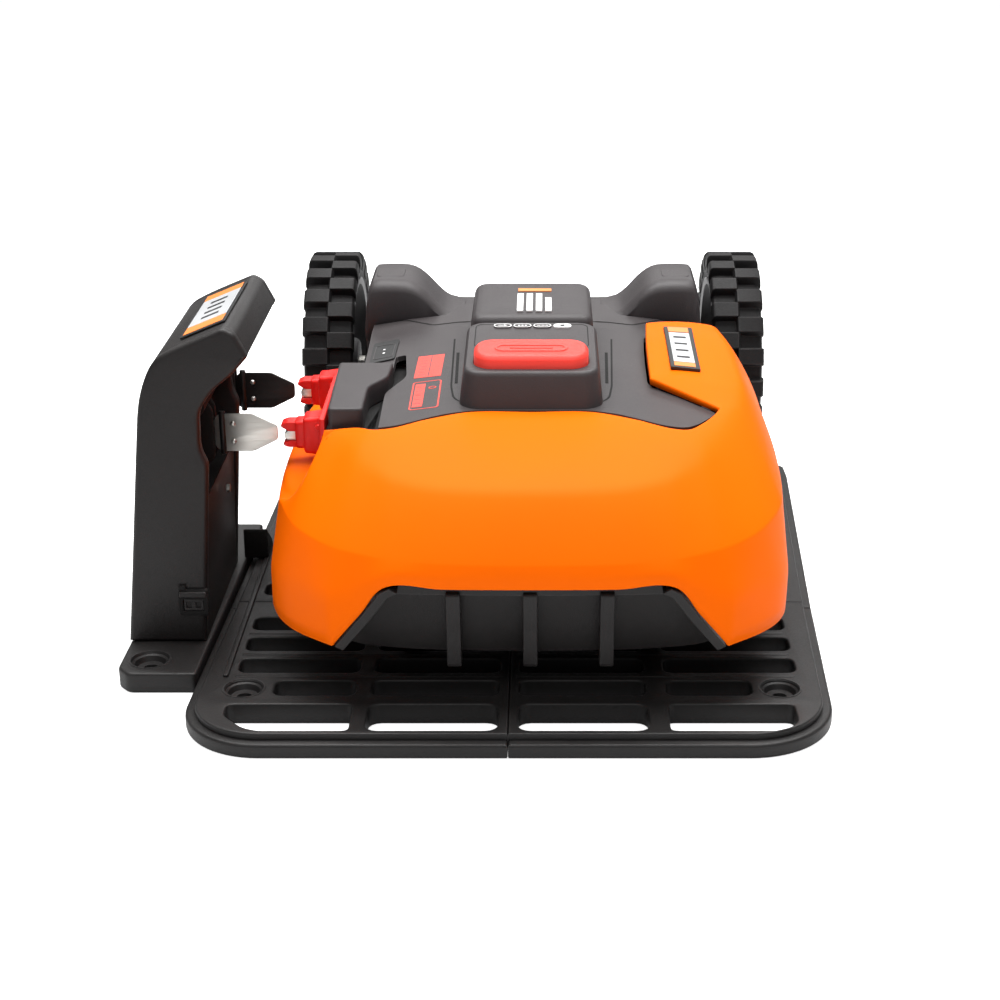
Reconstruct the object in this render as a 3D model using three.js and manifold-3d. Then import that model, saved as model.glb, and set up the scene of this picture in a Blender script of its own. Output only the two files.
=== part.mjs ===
// Robotic lawn mower parked on its slatted charging base with a contact tower.
// Millimetres. X to the right seen from the mower's front, Y towards the mower's rear, Z up.
// X = 0 on the mower's centre plane, Y = 0 on the drive wheel axle, Z = 0 on the ground.
import * as THREE from 'three';
import { mergeVertices } from 'three/addons/utils/BufferGeometryUtils.js';
import Module from 'manifold-3d';

const wasm = await Module();
wasm.setup();

// ---------- driving dimensions ----------
const PLATE_T = 16, PLATE_FRONT = -529.5, PLATE_REAR = 16;
const PLATE_SEAM = -309; // Y of the joint between front and rear plates
const PLATE_SPLIT = -15; // X of the joint between the two front plates
const REST_GAP = 0.4; // between the wheels and the plate
const SLOT_PITCH = 35.7, SLOT_H = 23;
const TOWER_Y0 = -382, TOWER_Y1 = -226;
const CONTACT_Z0 = 141, CONTACT_Z1 = 171;
const CONTACTS = [{ place: 'front', y: -307 }, { place: 'rear', y: -204 }];
const SHELL_T = 3;
const BUTTON_Y0 = -334, BUTTON_Y1 = -295, BUTTON_HALF = 42.5;
const WHEEL_R = 100.8, WHEEL_IN = 156, WHEEL_OUT = 201, LUGS = 22;
const AXLE_Z = PLATE_T + REST_GAP + WHEEL_R;
const CUT_Y = -215, CUT_DISC_R = 78;
const CASTER_X = 88, CASTER_Y = -388, CASTER_R = 31, CASTER_TRAIL = 16;
const SIDES = [['left', -1], ['right', 1]];

// ---------- finishes ----------
const BLACK = { color: 0x232124, roughness: 0.62 };
const DARK = { color: 0x383437, roughness: 0.5 };
const ORANGE = { color: 0xf57c00, roughness: 0.38 };
const RED = { color: 0xd8241f, roughness: 0.4 };
const TYRE = { color: 0x29292b, roughness: 0.85 };
const STEEL = { color: 0xb9b6b0, roughness: 0.3, metalness: 1 };
const DARK_STEEL = { color: 0x2b2a2b, roughness: 0.4, metalness: 1 };
const MOTOR_METAL = { color: 0x6b6b70, roughness: 0.4, metalness: 1 };
const BOARD_GREEN = { color: 0x1f5a35, roughness: 0.5 };
const BADGE_GREY = { color: 0xd9d9d6, roughness: 0.4 };
const KEY_GREY = { color: 0xd8d8d8, roughness: 0.5 };
const PACK_GREY = { color: 0x2c2c30, roughness: 0.6 };
const GEARBOX_GREY = { color: 0x4a4a4d, roughness: 0.55 };

const group = new THREE.Group();
group.name = 'robotic_lawn_mower';

function add(name, body, finish) {
  const material = new THREE.MeshStandardMaterial(finish);
  material.name = name + '_material';
  const mesh = new THREE.Mesh(toGeometry(body), material);
  mesh.name = name;
  group.add(mesh);
}

// ---------- solids ----------
function indexed(positions, triangles) {
  const geometry = new THREE.BufferGeometry();
  geometry.setAttribute('position', new THREE.BufferAttribute(new Float32Array(positions), 3));
  return geometry.setIndex(triangles);
}

function toSolid(geometry) {
  geometry.deleteAttribute('normal');
  geometry.deleteAttribute('uv');
  const merged = mergeVertices(geometry, 1e-3);
  return new wasm.Manifold(new wasm.Mesh({
    numProp: 3,
    vertProperties: new Float32Array(merged.attributes.position.array),
    triVerts: new Uint32Array(merged.index.array),
  }));
}

function toGeometry(body) {
  const { vertProperties, triVerts } = body.getMesh();
  const flat = indexed(vertProperties, Array.from(triVerts)).toNonIndexed();
  flat.computeVertexNormals();
  return flat;
}

const union = (...parts) => parts.reduce((sum, part) => sum.add(part));
const cut = (body, ...tools) => tools.reduce((rest, tool) => rest.subtract(tool), body);

function counterclockwise(points) {
  let doubleArea = 0;
  points.forEach(([x, y], i) => {
    const [nextX, nextY] = points[(i + 1) % points.length];
    doubleArea += x * nextY - nextX * y;
  });
  return doubleArea < 0 ? points.slice().reverse() : points;
}

function extrude(points, options) {
  const corners = counterclockwise(points).map(([x, y]) => new THREE.Vector2(x, y));
  return new THREE.ExtrudeGeometry(new THREE.Shape(corners), { bevelEnabled: false, ...options });
}

// outline in (x, y), run along Z
function prismZ(points, z0, z1) {
  return toSolid(extrude(points, { depth: z1 - z0 }).translate(0, 0, z0));
}

// outline in (x, z), run along Y
function prismY(points, y0, y1) {
  const geometry = extrude(points, { depth: y1 - y0 }).rotateX(Math.PI / 2);
  return toSolid(geometry.translate(0, y1, 0));
}

// outline in (y, z), run along X
function prismX(points, x0, x1) {
  const turn = new THREE.Matrix4().set(0, 0, 1, x0, 1, 0, 0, 0, 0, 1, 0, 0, 0, 0, 0, 1);
  return toSolid(extrude(points, { depth: x1 - x0 }).applyMatrix4(turn));
}

const box = (x0, x1, y0, y1, z0, z1) => prismZ([[x0, y0], [x1, y0], [x1, y1], [x0, y1]], z0, z1);

function circle(centreX, centreY, radius, sides) {
  return Array.from({ length: sides }, (_, i) => {
    const angle = i * 2 * Math.PI / sides;
    return [centreX + radius * Math.cos(angle), centreY + radius * Math.sin(angle)];
  });
}

const rodX = (y, z, radius, sides, x0, x1) => prismX(circle(y, z, radius, sides), x0, x1);
const rodY = (x, z, radius, sides, y0, y1) => prismY(circle(x, z, radius, sides), y0, y1);
const rodZ = (x, y, radius, sides, z0, z1) => prismZ(circle(x, y, radius, sides), z0, z1);

// points on an arc, angles in degrees
function arc(centreX, centreY, radius, start, end, steps) {
  return Array.from({ length: steps + 1 }, (_, i) => {
    const angle = (start + (end - start) * i / steps) * Math.PI / 180;
    return [centreX + radius * Math.cos(angle), centreY + radius * Math.sin(angle)];
  });
}

function rounded(x0, y0, x1, y1, radius, steps = 3) {
  return [
    ...arc(x1 - radius, y1 - radius, radius, 0, 90, steps),
    ...arc(x0 + radius, y1 - radius, radius, 90, 180, steps),
    ...arc(x0 + radius, y0 + radius, radius, 180, 270, steps),
    ...arc(x1 - radius, y0 + radius, radius, 270, 360, steps),
  ];
}

// closed rings of equal count, stacked; the end rings are capped
function loft(rings) {
  const count = rings[0].length, triangles = [];
  for (let r = 0; r + 1 < rings.length; r++) {
    for (let i = 0; i < count; i++) {
      const here = r * count + i, next = r * count + (i + 1) % count;
      triangles.push(here, next, next + count, here, next + count, here + count);
    }
  }
  const cap = (r, faceDown) => {
    const outline = rings[r].map(([x, y]) => new THREE.Vector2(x, y));
    for (const corners of THREE.ShapeUtils.triangulateShape(outline, [])) {
      const [a, b, c] = corners.map((i) => r * count + i);
      triangles.push(...(faceDown ? [a, c, b] : [a, b, c]));
    }
  };
  cap(0, true);
  cap(rings.length - 1, false);
  return toSolid(indexed(rings.flat(2), triangles));
}

// an (x, z) section run along Y through stations [y, scale]; heights above `floor` are scaled
function tapered(points, stations, floor) {
  const section = counterclockwise(points);
  const height = (z, scale) => z > floor + 0.5 ? floor + (z - floor) * scale : z;
  const rings = stations.slice().reverse()
    .map(([y, scale]) => section.map(([x, z]) => [x, height(z, scale), -y]));
  return loft(rings).rotate([90, 0, 0]);
}

// rounded rectangles centred on X = 0, lofted upwards;
// a level is [half width, y0, y1, corner radius, z, rise per mm of Y beyond slopeY]
function roundedStack(levels, { steps = 3, inset = 0, drop = 0, slopeY = 0 } = {}) {
  return loft(levels.map(([half, y0, y1, radius, z, slope = 0]) =>
    rounded(inset - half, y0 + inset, half - inset, y1 - inset, radius, steps)
      .map(([x, y]) => [x, y, z + (y - slopeY) * slope - drop])));
}

// ---------- charging base ----------
const JOINT = 0.4; // each plate stops this far short of a joint
const CHAMFER = 6, SLAB_DEPTH = 20;
const MID_SLOTS = [[-113, -22], [-8.5, 82]];
const FIRST_ROW = [[-182, -124], ...MID_SLOTS, [96, 157]];
const FRONT_ROW = [[-212, -124], ...MID_SLOTS, [96, 192]];
const REAR_ROW = [[-212, -124], ...MID_SLOTS, [96, 194]];
const FRONT_ROWS_Y = -467.4, REAR_ROWS_Y = -296;
const EDGE_Y0 = -518.8, EDGE_Y1 = -481; // deeper slots along the front edge
const PLATE_SCREWS = [[-203.7, -456.7], [177.2, -456.7]];
const PLATE_OUTLINE = [
  ...arc(-184.5, PLATE_FRONT + 57, 57, 180, 270, 8),
  ...arc(149, PLATE_FRONT + 62, 62, 270, 358, 8),
  [219.5, PLATE_SEAM], [236.5, -14], [236, 10], [231, PLATE_REAR], [-228.5, PLATE_REAR],
];
// the two corner slots follow the rounded corners of the plate
const CORNER_SLOTS = [
  [[-212, EDGE_Y1], [-212, -497], [-197, -514], [-186, EDGE_Y0], [-124, EDGE_Y0], [-124, EDGE_Y1]],
  [[96, EDGE_Y1], [96, EDGE_Y0], [168, EDGE_Y0], [176, -516], [184, -506], [184, EDGE_Y1]],
];
const FOOT_OUTLINE = [[-300.5, -424], [-291.5, -434.5], [-241.6, -434.5], [-233.7, -146],
  [-288, -146], [-297, -156]];

const throughPlate = (points) => prismZ(points, -1, PLATE_T + 1);

function slotRow(columns, y0, y1 = y0 + SLOT_H) {
  return columns.map(([x0, x1]) => throughPlate(rounded(x0, y0, x1, y1, 5, 1)));
}

function counterbore([x, y]) {
  return union(rodZ(x, y, 13.2, 16, 9, PLATE_T + 1), rodZ(x, y, 5.5, 12, -1, 10));
}

// the whole plate, chamfered round its top edge
function chamferedPlate() {
  const slab = extrude(PLATE_OUTLINE, {
    depth: SLAB_DEPTH, bevelEnabled: true, bevelSize: CHAMFER, bevelOffset: -CHAMFER,
    bevelThickness: CHAMFER, bevelSegments: 1,
  });
  slab.translate(0, 0, PLATE_T - SLAB_DEPTH - CHAMFER);
  return toSolid(slab).intersect(box(-400, 400, -600, 100, 0, 40));
}

const plate = chamferedPlate();
const frontSlots = [
  ...[0, 1, 2, 3].flatMap((k) =>
    slotRow(k === 0 ? FIRST_ROW : FRONT_ROW, FRONT_ROWS_Y + k * SLOT_PITCH)),
  ...slotRow(MID_SLOTS, EDGE_Y0, EDGE_Y1),
  ...CORNER_SLOTS.map(throughPlate),
];
const frontPlate = cut(plate, ...frontSlots, ...PLATE_SCREWS.map(counterbore));
const frontPart = (x0, x1) => frontPlate.intersect(box(x0, x1, -600, PLATE_SEAM - JOINT, -1, 40));
add('base_plate_front_left', frontPart(-400, PLATE_SPLIT - JOINT), BLACK);
add('base_plate_front_right', frontPart(PLATE_SPLIT + JOINT, 400), BLACK);

const rearSlots = [0, 1, 2, 3, 4, 5, 6]
  .flatMap((k) => slotRow(REAR_ROW, REAR_ROWS_Y + k * SLOT_PITCH));
add('base_plate_rear',
  cut(plate, ...rearSlots).intersect(box(-400, 400, PLATE_SEAM + JOINT, 100, -1, 40)), BLACK);

add('tower_foot', cut(prismZ(FOOT_OUTLINE, 0, PLATE_T),
  counterbore([-279.3, -411]), box(-268, -246, -220, -160, -1, 8)), BLACK);

// ---------- contact tower ----------
// (x, z): up the left face, over the roof, down the right face
const TOWER_PROFILE = [
  [-299, 16.5], [-281.7, 176], [-278.8, 205], [-273, 222], [-264.2, 236], [-256, 242],
  [-216, 258.9], [-208.6, 254.7], [-199.9, 237.6], [-211, 225], [-227, 212], [-237, 197],
  [-238, 168], [-233, 157], [-243, 16.5],
];
const HOLDER_BAY = [[-262, 128], [-262, 206], [-236, 214], [-200, 214], [-200, 128]];
const ROOF_RECESS = [[-252, 243.2], [-211, 263.2], [-211, 259.7], [-252, 239.7]];
const ROOF_BADGE = [[-247, 242.7], [-216, 257.8], [-216, 260.0], [-247, 244.9]];
const GUSSET = [[-225.6, 16.5], [-197, 16.5], [-200, 25], [-225.6, 44]]; // (y, z)
const CONTACT_BLADE = [
  [-240, 145], [-240, 167], [-236, CONTACT_Z1], [-210, CONTACT_Z1],
  [-192, 162], [-192, 150], [-210, CONTACT_Z0], [-236, CONTACT_Z0],
];
const CONTACT_PIN_X = -234, RIVET_X = -226, RIVET_Z = [150, 162];

add('tower_housing', cut(
  prismY(TOWER_PROFILE, TOWER_Y0, TOWER_Y1),
  box(-276, -225, -360, -248, 40, 118), // circuit bay
  prismY(HOLDER_BAY, -368, TOWER_Y1 + 1),
  prismY(ROOF_RECESS, -366, -246),
  box(-262, -238, TOWER_Y0 - 1, TOWER_Y0 + 3, 38, 60), // socket recess
), BLACK);
add('tower_circuit_board', box(-272, -269.5, -352, -256, 46, 112), BOARD_GREEN);
add('tower_badge', prismY(ROOF_BADGE, -358, -254), BADGE_GREY);
add('connector_socket', cut(box(-260.5, -239.5, -384.5, -379.4, 39.5, 58.5),
  ...[-256, -248].map((x) => box(x, x + 4, -386, -381, 45, 51))), BLACK);
add('contact_holder', cut(box(-261.5, -239.5, -334, -192, 130, 192),
  ...CONTACTS.map(({ y }) =>
    box(-246, -230, y - 9, y + 9, CONTACT_Z0 - 3, CONTACT_Z1 + 3))), BLACK);
add('tower_rear_gusset', prismX(GUSSET, -238, -218), BLACK);

for (const { place, y } of CONTACTS) {
  add('contact_blade_' + place, union(
    prismY(CONTACT_BLADE, y - 0.8, y + 0.8),
    rodZ(CONTACT_PIN_X, y, 2.4, 12, CONTACT_Z0 - 2, CONTACT_Z1 + 2),
    ...RIVET_Z.map((z) => rodY(RIVET_X, z, 2, 8, y - 1.8, y + 1.8)),
  ), place === 'front' ? STEEL : DARK_STEEL);
}

// ---------- mower: shell ----------
// Columns of (x, y, z), each from the top down: rim, upper crease, lower crease, waist,
// bottom edge. They run from the nose's centre line round the +X side to the rear.
const RIGHT = [
  [[0, -352, 188], [0, -455, 165], [0, -489, 124], [0, -491, 115], [0, -490, 107]],
  [[43, -352, 188], [62, -451, 165.5], [60, -487, 124.3], [60, -490, 115], [60, -489, 107]],
  [[75, -363, 186], [94, -438, 167], [95, -480, 125], [98, -485, 116], [98, -485, 107]],
  [[98, -374, 183.5], [112, -422, 168.5], [118, -471, 125.5], [121, -479, 102], [117, -483, 85]],
  [[113, -374, 182], [125, -406, 170], [136, -460, 126], [142, -472, 94], [137, -481, 61]],
  [[124, -360, 181.5], [138, -378, 172], [156, -440, 127], [165, -446, 92], [163, -457, 60]],
  [[134, -341, 181.5], [148, -348, 175], [170, -418, 128.5], [180, -424, 88], [178, -434, 59]],
  [[140, -326, 182], [156, -318, 178], [182, -384, 131], [187, -398, 85], [185, -407, 58.5]],
  [[90.5, -284, 192], [161, -275, 184], [186, -312, 138], [188.5, -312, 90], [187.5, -312, 61]],
  [[91, -225, 195.5], [160, -222, 190], [184, -225, 144], [187.5, -225, 95], [186.5, -225, 66]],
  [[92, -188, 197], [157, -185, 193], [181, -175, 150], [184.5, -168, 103], [183.5, -164, 76]],
  [[94, -147, 196], [152, -147, 193.5], [172, -136, 154], [180, -124, 110], [180, -121, 84]],
];
const FLANK_START = 8; // from this column on the left side has a ledge, the right a raised rim
// where the left nose departs from the mirrored right one: column, row, point
const LEFT_CHANGES = [
  [5, 0, [-124.5, -364, 180]], [6, 0, [-139, -358, 177]], [6, 1, [-150, -362, 172]],
  [7, 0, [-150.5, -357, 176]], [7, 1, [-161, -389, 135]],
  [7, 3, [-188, -397.5, 85]], [7, 4, [-186.3, -406.5, 58.5]],
];
// left flank, front to rear: ledge inner line, ledge outer rim, then down the side
const LEDGE = [
  [[-151.5, -354.5, 136.5], [-163, -387.5, 134.6], [-183, -380, 130.6],
    [-188.2, -391.5, 85.5], [-186.6, -399.5, 58.7]],
  [[-154, -338, 135], [-176.5, -367.6, 134.4], [-185, -357, 130],
    [-189, -362, 87], [-187.8, -366, 59.5]],
  [[-154.5, -318, 134.6], [-185, -325.6, 134], [-187, -322, 129],
    [-188.5, -312, 90], [-187.5, -312, 61]],
  [[-154.5, -225, 134.6], [-184.5, -225, 134], [-186.6, -225, 129],
    [-187.5, -225, 95], [-186.5, -225, 66]],
  [[-154, -186, 134.6], [-182.5, -180, 134], [-184.4, -178, 129],
    [-184.5, -168, 103], [-183.5, -164, 76]],
  [[-152, -147, 134.6], [-174, -140, 134], [-177.5, -136, 129],
    [-180, -124, 110], [-180, -121, 84]],
];
const LIP_DROP = 4.5, RIGHT_LIP_Z = 186.6;

// rows of points from the lip down, each running from rear left round the nose to rear right
function shellRows() {
  const nose = RIGHT.slice(0, FLANK_START).map((column) => column.map(([x, y, z]) => [-x, y, z]));
  for (const [column, row, point] of LEFT_CHANGES) nose[column][row] = point;
  const left = [...nose.slice(1), ...LEDGE].reverse();
  const columns = [...left, ...RIGHT];
  const lip = columns.map(([[x, y, z]], i) =>
    [x, y, i >= left.length + FLANK_START ? RIGHT_LIP_Z : z - LIP_DROP]);
  return [lip, ...[0, 1, 2, 3, 4].map((row) => columns.map((column) => column[row]))];
}

// outward normal at each grid point, averaged over the grid cells that meet there
function outerNormals(grid) {
  const edge = (from, to) => new THREE.Vector3(...to).sub(new THREE.Vector3(...from));
  return grid.map((line, r) => line.map((point, c) => {
    const normal = new THREE.Vector3();
    for (const [dr, dc] of [[1, 0], [0, 1], [-1, 0], [0, -1]]) {
      const first = grid[r + dr]?.[c + dc], second = grid[r - dc]?.[c + dr];
      if (first && second) normal.add(edge(point, first).cross(edge(point, second)).normalize());
    }
    return normal.normalize();
  }));
}

// the grid as an outer skin, an inner skin one thickness inside it, and four edge strips
function thicken(grid, thickness) {
  const rows = grid.length, columns = grid[0].length;
  const normals = outerNormals(grid), triangles = [];
  const skin = (depth) => grid.map((line, r) => line.map(([x, y, z], c) => {
    const normal = normals[r][c];
    return [x - normal.x * depth, y - normal.y * depth, z - normal.z * depth];
  }));
  const outer = (r, c) => r * columns + c;
  const inner = (r, c) => rows * columns + outer(r, c);
  const quad = (a, b, c, d) => triangles.push(a, b, c, a, c, d);
  const lastRow = rows - 1, lastColumn = columns - 1;
  for (let r = 0; r < lastRow; r++) {
    for (let c = 0; c < lastColumn; c++) {
      quad(outer(r, c), outer(r + 1, c), outer(r + 1, c + 1), outer(r, c + 1));
      quad(inner(r, c), inner(r, c + 1), inner(r + 1, c + 1), inner(r + 1, c));
    }
  }
  const strip = (r0, c0, r1, c1) => quad(outer(r0, c0), outer(r1, c1), inner(r1, c1), inner(r0, c0));
  for (let c = 0; c < lastColumn; c++) {
    strip(0, c, 0, c + 1);
    strip(lastRow, c + 1, lastRow, c);
  }
  for (let r = 0; r < lastRow; r++) {
    strip(r + 1, 0, r, 0);
    strip(r, lastColumn, r + 1, lastColumn);
  }
  return toSolid(indexed([skin(0), skin(thickness)].flat(3), triangles));
}

const shell = thicken(shellRows(), SHELL_T);
add('orange_shell', shell, ORANGE);

// ---------- mower: deck ----------
const DECK_T = 5;
// (x, z) cross section of the crowned deck
const CROWN = [[-160, 168], [-160, 175.5], [-112, 182], [-66, 188],
  [66, 188], [112, 182], [160, 175.8], [160, 168]];
const DECK_PLAN = [
  [-42, -350], [42, -350], [74, -361], [97, -371.5], [112, -371.5], [122, -358.5], [132, -339],
  [137, -326], [89, -281], [89.5, -225], [90.5, -188], [92.5, -144.6], [141, -144.6], [141, -112],
  [140, -88.4], [-137, -88.4], [-137, -112], [-134, -234], [-110, -234], [-110, -198],
  [-102, -195], [-97.5, -255], [-111.5, -291], [-110, -367], [-110, -371.5], [-97, -371.5],
  [-74, -361],
];

function topDeck() {
  const crown = prismY(CROWN, -400, -60);
  const underside = crown.translate([0, 0, -DECK_T]).intersect(box(-170, 170, -345, -60, 100, 200));
  return cut(crown.intersect(prismZ(DECK_PLAN, 160, 200)), underside,
    box(-44.5, 44.5, -228.5, -123.5, 150, 230), // battery opening
    box(-46, 46, -336, -241, 150, 230)); // stop housing opening
}
add('top_deck', topDeck(), DARK);

// two hoods with a lower saddle between them; everything falls away behind the crown
const COWL_FLOOR = 151, COWL_FRONT = -87.6;
// (x, z) of the left half, from the floor to the saddle
const HOOD = [[-143.5, COWL_FLOOR], [-145, 180], [-143.4, 198], [-141.3, 208.8], [-138.4, 214.2],
  [-108, 214.2], [-100, 210.4], [-92, 203.3], [-84, 194.5], [-75, 187], [-66, 184]];
const COWL_TAPER = [[-20, 1], [0, 0.82], [20, 0.66], [40, 0.49], [56, 0.3], [66, 0.06]];
const COWL_SIDE = [[COWL_FRONT, COWL_FLOOR], [COWL_FRONT, 188], [-76, 215],
  [66, 215], [66, COWL_FLOOR]]; // (y, z)

function rearCowl() {
  const profile = [...HOOD, ...HOOD.slice().reverse().map(([x, z]) => [-x, z])];
  const outer = tapered(profile, [[COWL_FRONT, 1], ...COWL_TAPER], COWL_FLOOR);
  const innerProfile = profile.map(([x, z]) => [x * 0.965, z - (z > COWL_FLOOR + 1 ? 5 : 6)]);
  const innerTaper = COWL_TAPER.map(([y, scale]) => [y - 6, scale]);
  const inner = tapered(innerProfile, [[-110, 1], ...innerTaper], COWL_FLOOR);
  return outer.intersect(prismX(COWL_SIDE, -150, 150)).subtract(inner);
}
add('rear_cowl', rearCowl(), DARK);

// stop housing, its button well and keys; levels as for roundedStack
const TOP_SLOPE = 0.07, KEY_R = 3.4;
const HOUSING = [
  [53, -348, -231, 16, 188.4],
  [49.5, -340.5, -233.5, 12, 212.4, TOP_SLOPE],
  [47.5, -338.5, -235, 11, 214.2, TOP_SLOPE],
];
const BUTTON = [
  [BUTTON_HALF, BUTTON_Y0, BUTTON_Y1, 14.5, 202],
  [BUTTON_HALF, BUTTON_Y0, BUTTON_Y1, 14.5, 221, TOP_SLOPE],
  [BUTTON_HALF - 2.5, BUTTON_Y0 + 2.5, BUTTON_Y1 - 2.5, 12, 224, TOP_SLOPE],
];
const WELL = [150, 240].map((z) =>
  [BUTTON_HALF + 0.5, BUTTON_Y0 - 0.5, BUTTON_Y1 + 0.5, 15, z]);
const KEY_X = [-22.5, -7.2, 8.2, 23.8];
const housing = (inset, drop) =>
  roundedStack(HOUSING.map((level, i) => level), { inset, drop, slopeY: -340 });
const key = (x, gap, z0, z1) =>
  prismZ(rounded(x - 7 - gap, -248 - gap, x + 7 + gap, -240 + gap, KEY_R + gap), z0, z1);

add('stop_housing', cut(housing(0, 0), housing(3, 3), roundedStack(WELL, { steps: 4 }),
  ...KEY_X.map((x) => key(x, 0.4, 200, 240))), DARK);
add('stop_button', roundedStack(BUTTON, { steps: 4, slopeY: BUTTON_Y0 }), RED);
add('stop_switch',
  union(box(-12, 12, -326, -304, 181, 191), rodZ(0, -315, 4, 12, 190, 197.2)), BLACK);
KEY_X.forEach((x, i) => add('key_' + (i + 1), key(x, 0, 214, 221.8), i === 3 ? KEY_GREY : BLACK));

// battery cover and pack
const COVER = [
  [48.5, -229.5, -121, 9, 188.6], [48.5, -229.5, -121, 9, 222], [45.5, -226.5, -124, 7, 226],
];
const PACK = [[40, -222, -128, 6, 151], [40, -222, -128, 6, 214]];
add('battery_cover', cut(roundedStack(COVER), roundedStack(COVER, { inset: 2.6, drop: 3 })), DARK);
add('battery_pack', roundedStack(PACK, { steps: 2 }), PACK_GREY);

// contact module on the left
const MODULE_COVER = [[-148.5, -351.5], [-123, -351.5], [-123.5, -298], [-110.5, -274],
  [-109, -237], [-151.5, -237]];
const MODULE_OUTER = [[-150.5, -345], [-113, -345], [-113, -197], [-133, -197], [-150.5, -215]];
const MODULE_INNER = [[-113.5, -345], [-112, -290], [-101.5, -250], [-103.5, -197],
  [-113.5, -197]];
add('contact_module_cover', prismZ(MODULE_COVER, 171.5, 190), DARK);
add('contact_module_body',
  union(prismZ(MODULE_OUTER, 136.8, 171), prismZ(MODULE_INNER, 150, 171)), BLACK);
for (const { place, y } of CONTACTS) {
  add('mower_contact_' + place, union(
    prismX(rounded(y - 11, CONTACT_Z0, y + 11, CONTACT_Z1, 4, 2), -172, -151),
    prismX(rounded(y - 8.5, 146, y + 8.5, 167, 3, 2), -178, -170),
    box(-189, -177, y - 6.5, y + 6.5, 159.5, 166), // upper fork
    box(-189, -177, y - 6.5, y + 6.5, 146, 150.5), // lower fork
  ), RED);
  add('mower_contact_strip_' + place, box(-186.5, -178.3, y - 4.5, y + 4.5, 150.9, 159.1), STEEL);
}
add('indicator_pad', prismZ(rounded(-131, -209, -110, -151, 3, 2), 183.1, 184.9), BLACK);
// a thin plate that follows the raised shell under it
add('tail_badge', prismZ(rounded(107, -268, 130, -172, 3, 2), 170, 215)
  .intersect(shell.translate([0, 0, 3.4]))
  .subtract(shell.translate([0, 0, 5])), BADGE_GREY);

// ---------- mower: chassis ----------
const TUB_OUTER = [[-106, -330], [106, -330], [106, -118], [146, -112], [146, 62], [-146, 62],
  [-146, -112], [-106, -118]];
const TUB_INNER = [[-102, -325], [102, -325], [102, -113], [142, -107], [142, 57], [-142, 57],
  [-142, -107], [-102, -113]];
// solid block ahead of the tub that carries the casters
const SHOE = [[-106, -332], [-128, -345], [-132, -432], [-100, -455], [100, -455], [132, -432],
  [128, -345], [106, -332], [106, -326], [-106, -326]];
const STEM_R = 6, STEM_GAP = 0.4;
add('lower_chassis', cut(
  union(cut(prismZ(TUB_OUTER, 60, 149.5), prismZ(TUB_INNER, 66, 150)), prismZ(SHOE, 98, 122)),
  rodZ(0, CUT_Y, 7, 16, 50, 70),
  rodX(0, AXLE_Z, 9, 16, -150, -140),
  rodX(0, AXLE_Z, 9, 16, 140, 150),
  ...SIDES.map(([, s]) => rodZ(s * CASTER_X, CASTER_Y, STEM_R + STEM_GAP, 16, 90, 130)),
), BLACK);

const SKIRT_PLAN = [[-126, -438], [-134, -446], [-134, -470], [-104, -476], [104, -476],
  [134, -470], [134, -446], [126, -438], [100, -462], [-100, -462]];
const SKIRT_FACE = [[-136, 48], [-128, 64], [-112, 88], [-100, 103.5], [100, 103.5],
  [112, 88], [128, 64], [136, 48], [110, 46], [-110, 46]]; // (x, z)
const SKIRT_RIB = [[-482, 40], [-476, 40], [-472, 96], [-476, 102], [-482, 98]]; // (y, z)
add('front_skirt', union(
  prismZ(SKIRT_PLAN, 30, 120).intersect(prismY(SKIRT_FACE, -500, -400)),
  ...[-53, 0, 53].map((x) => prismX(SKIRT_RIB, x - 4.8, x + 4.8)),
), BLACK);

// ---------- mower: wheels ----------
const LUG_DEPTH = 10, SHAFT_R = 6, SHAFT_HOLE_R = 6.6, RIM_R = 77.6, DISH_R = 70;
// one lug and the gap after it: fraction of the lug step, radius
const LUG = [[0, WHEEL_R], [0.52, WHEEL_R], [0.58, WHEEL_R - LUG_DEPTH],
  [0.94, WHEEL_R - LUG_DEPTH]];

// toothed ring across half of the tyre's width
function lugRing(startAngle, x0, x1) {
  const points = [], step = 2 * Math.PI / LUGS;
  for (let i = 0; i < LUGS; i++) {
    for (const [fraction, radius] of LUG) {
      const angle = startAngle + (i + fraction) * step;
      points.push([radius * Math.cos(angle), AXLE_Z + radius * Math.sin(angle)]);
    }
  }
  return prismX(points, x0, x1);
}

function addDriveWheel(side, sign) {
  // distances from the centre plane, as an ascending X range on this side
  const range = (near, far) => sign < 0 ? [-far, -near] : [near, far];
  const rod = (radius, sides, near, far) => rodX(0, AXLE_Z, radius, sides, ...range(near, far));
  const middle = (WHEEL_IN + WHEEL_OUT) / 2;
  const tyre = union(lugRing(0, ...range(WHEEL_IN, middle)),
    lugRing(Math.PI / LUGS, ...range(middle, WHEEL_OUT)));
  add('tyre_' + side, cut(tyre, rod(78, 32, 150, 210)), TYRE);
  const rim = cut(rod(RIM_R, 32, 158, 200.5), rod(DISH_R, 32, 150, 172), rod(DISH_R, 32, 190, 205));
  const boss = rod(20, 16, 160, 198);
  add('wheel_hub_' + side, cut(rim.add(boss), rod(SHAFT_HOLE_R, 12, 150, 194)), DARK);
  add('drive_shaft_' + side, rod(SHAFT_R, 12, 128, 193), STEEL);
  add('drive_gearbox_' + side, cut(box(...range(84, 139), -38, 42, 88, 142),
    rod(SHAFT_HOLE_R, 12, 127, 140)), GEARBOX_GREY);
}

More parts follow.
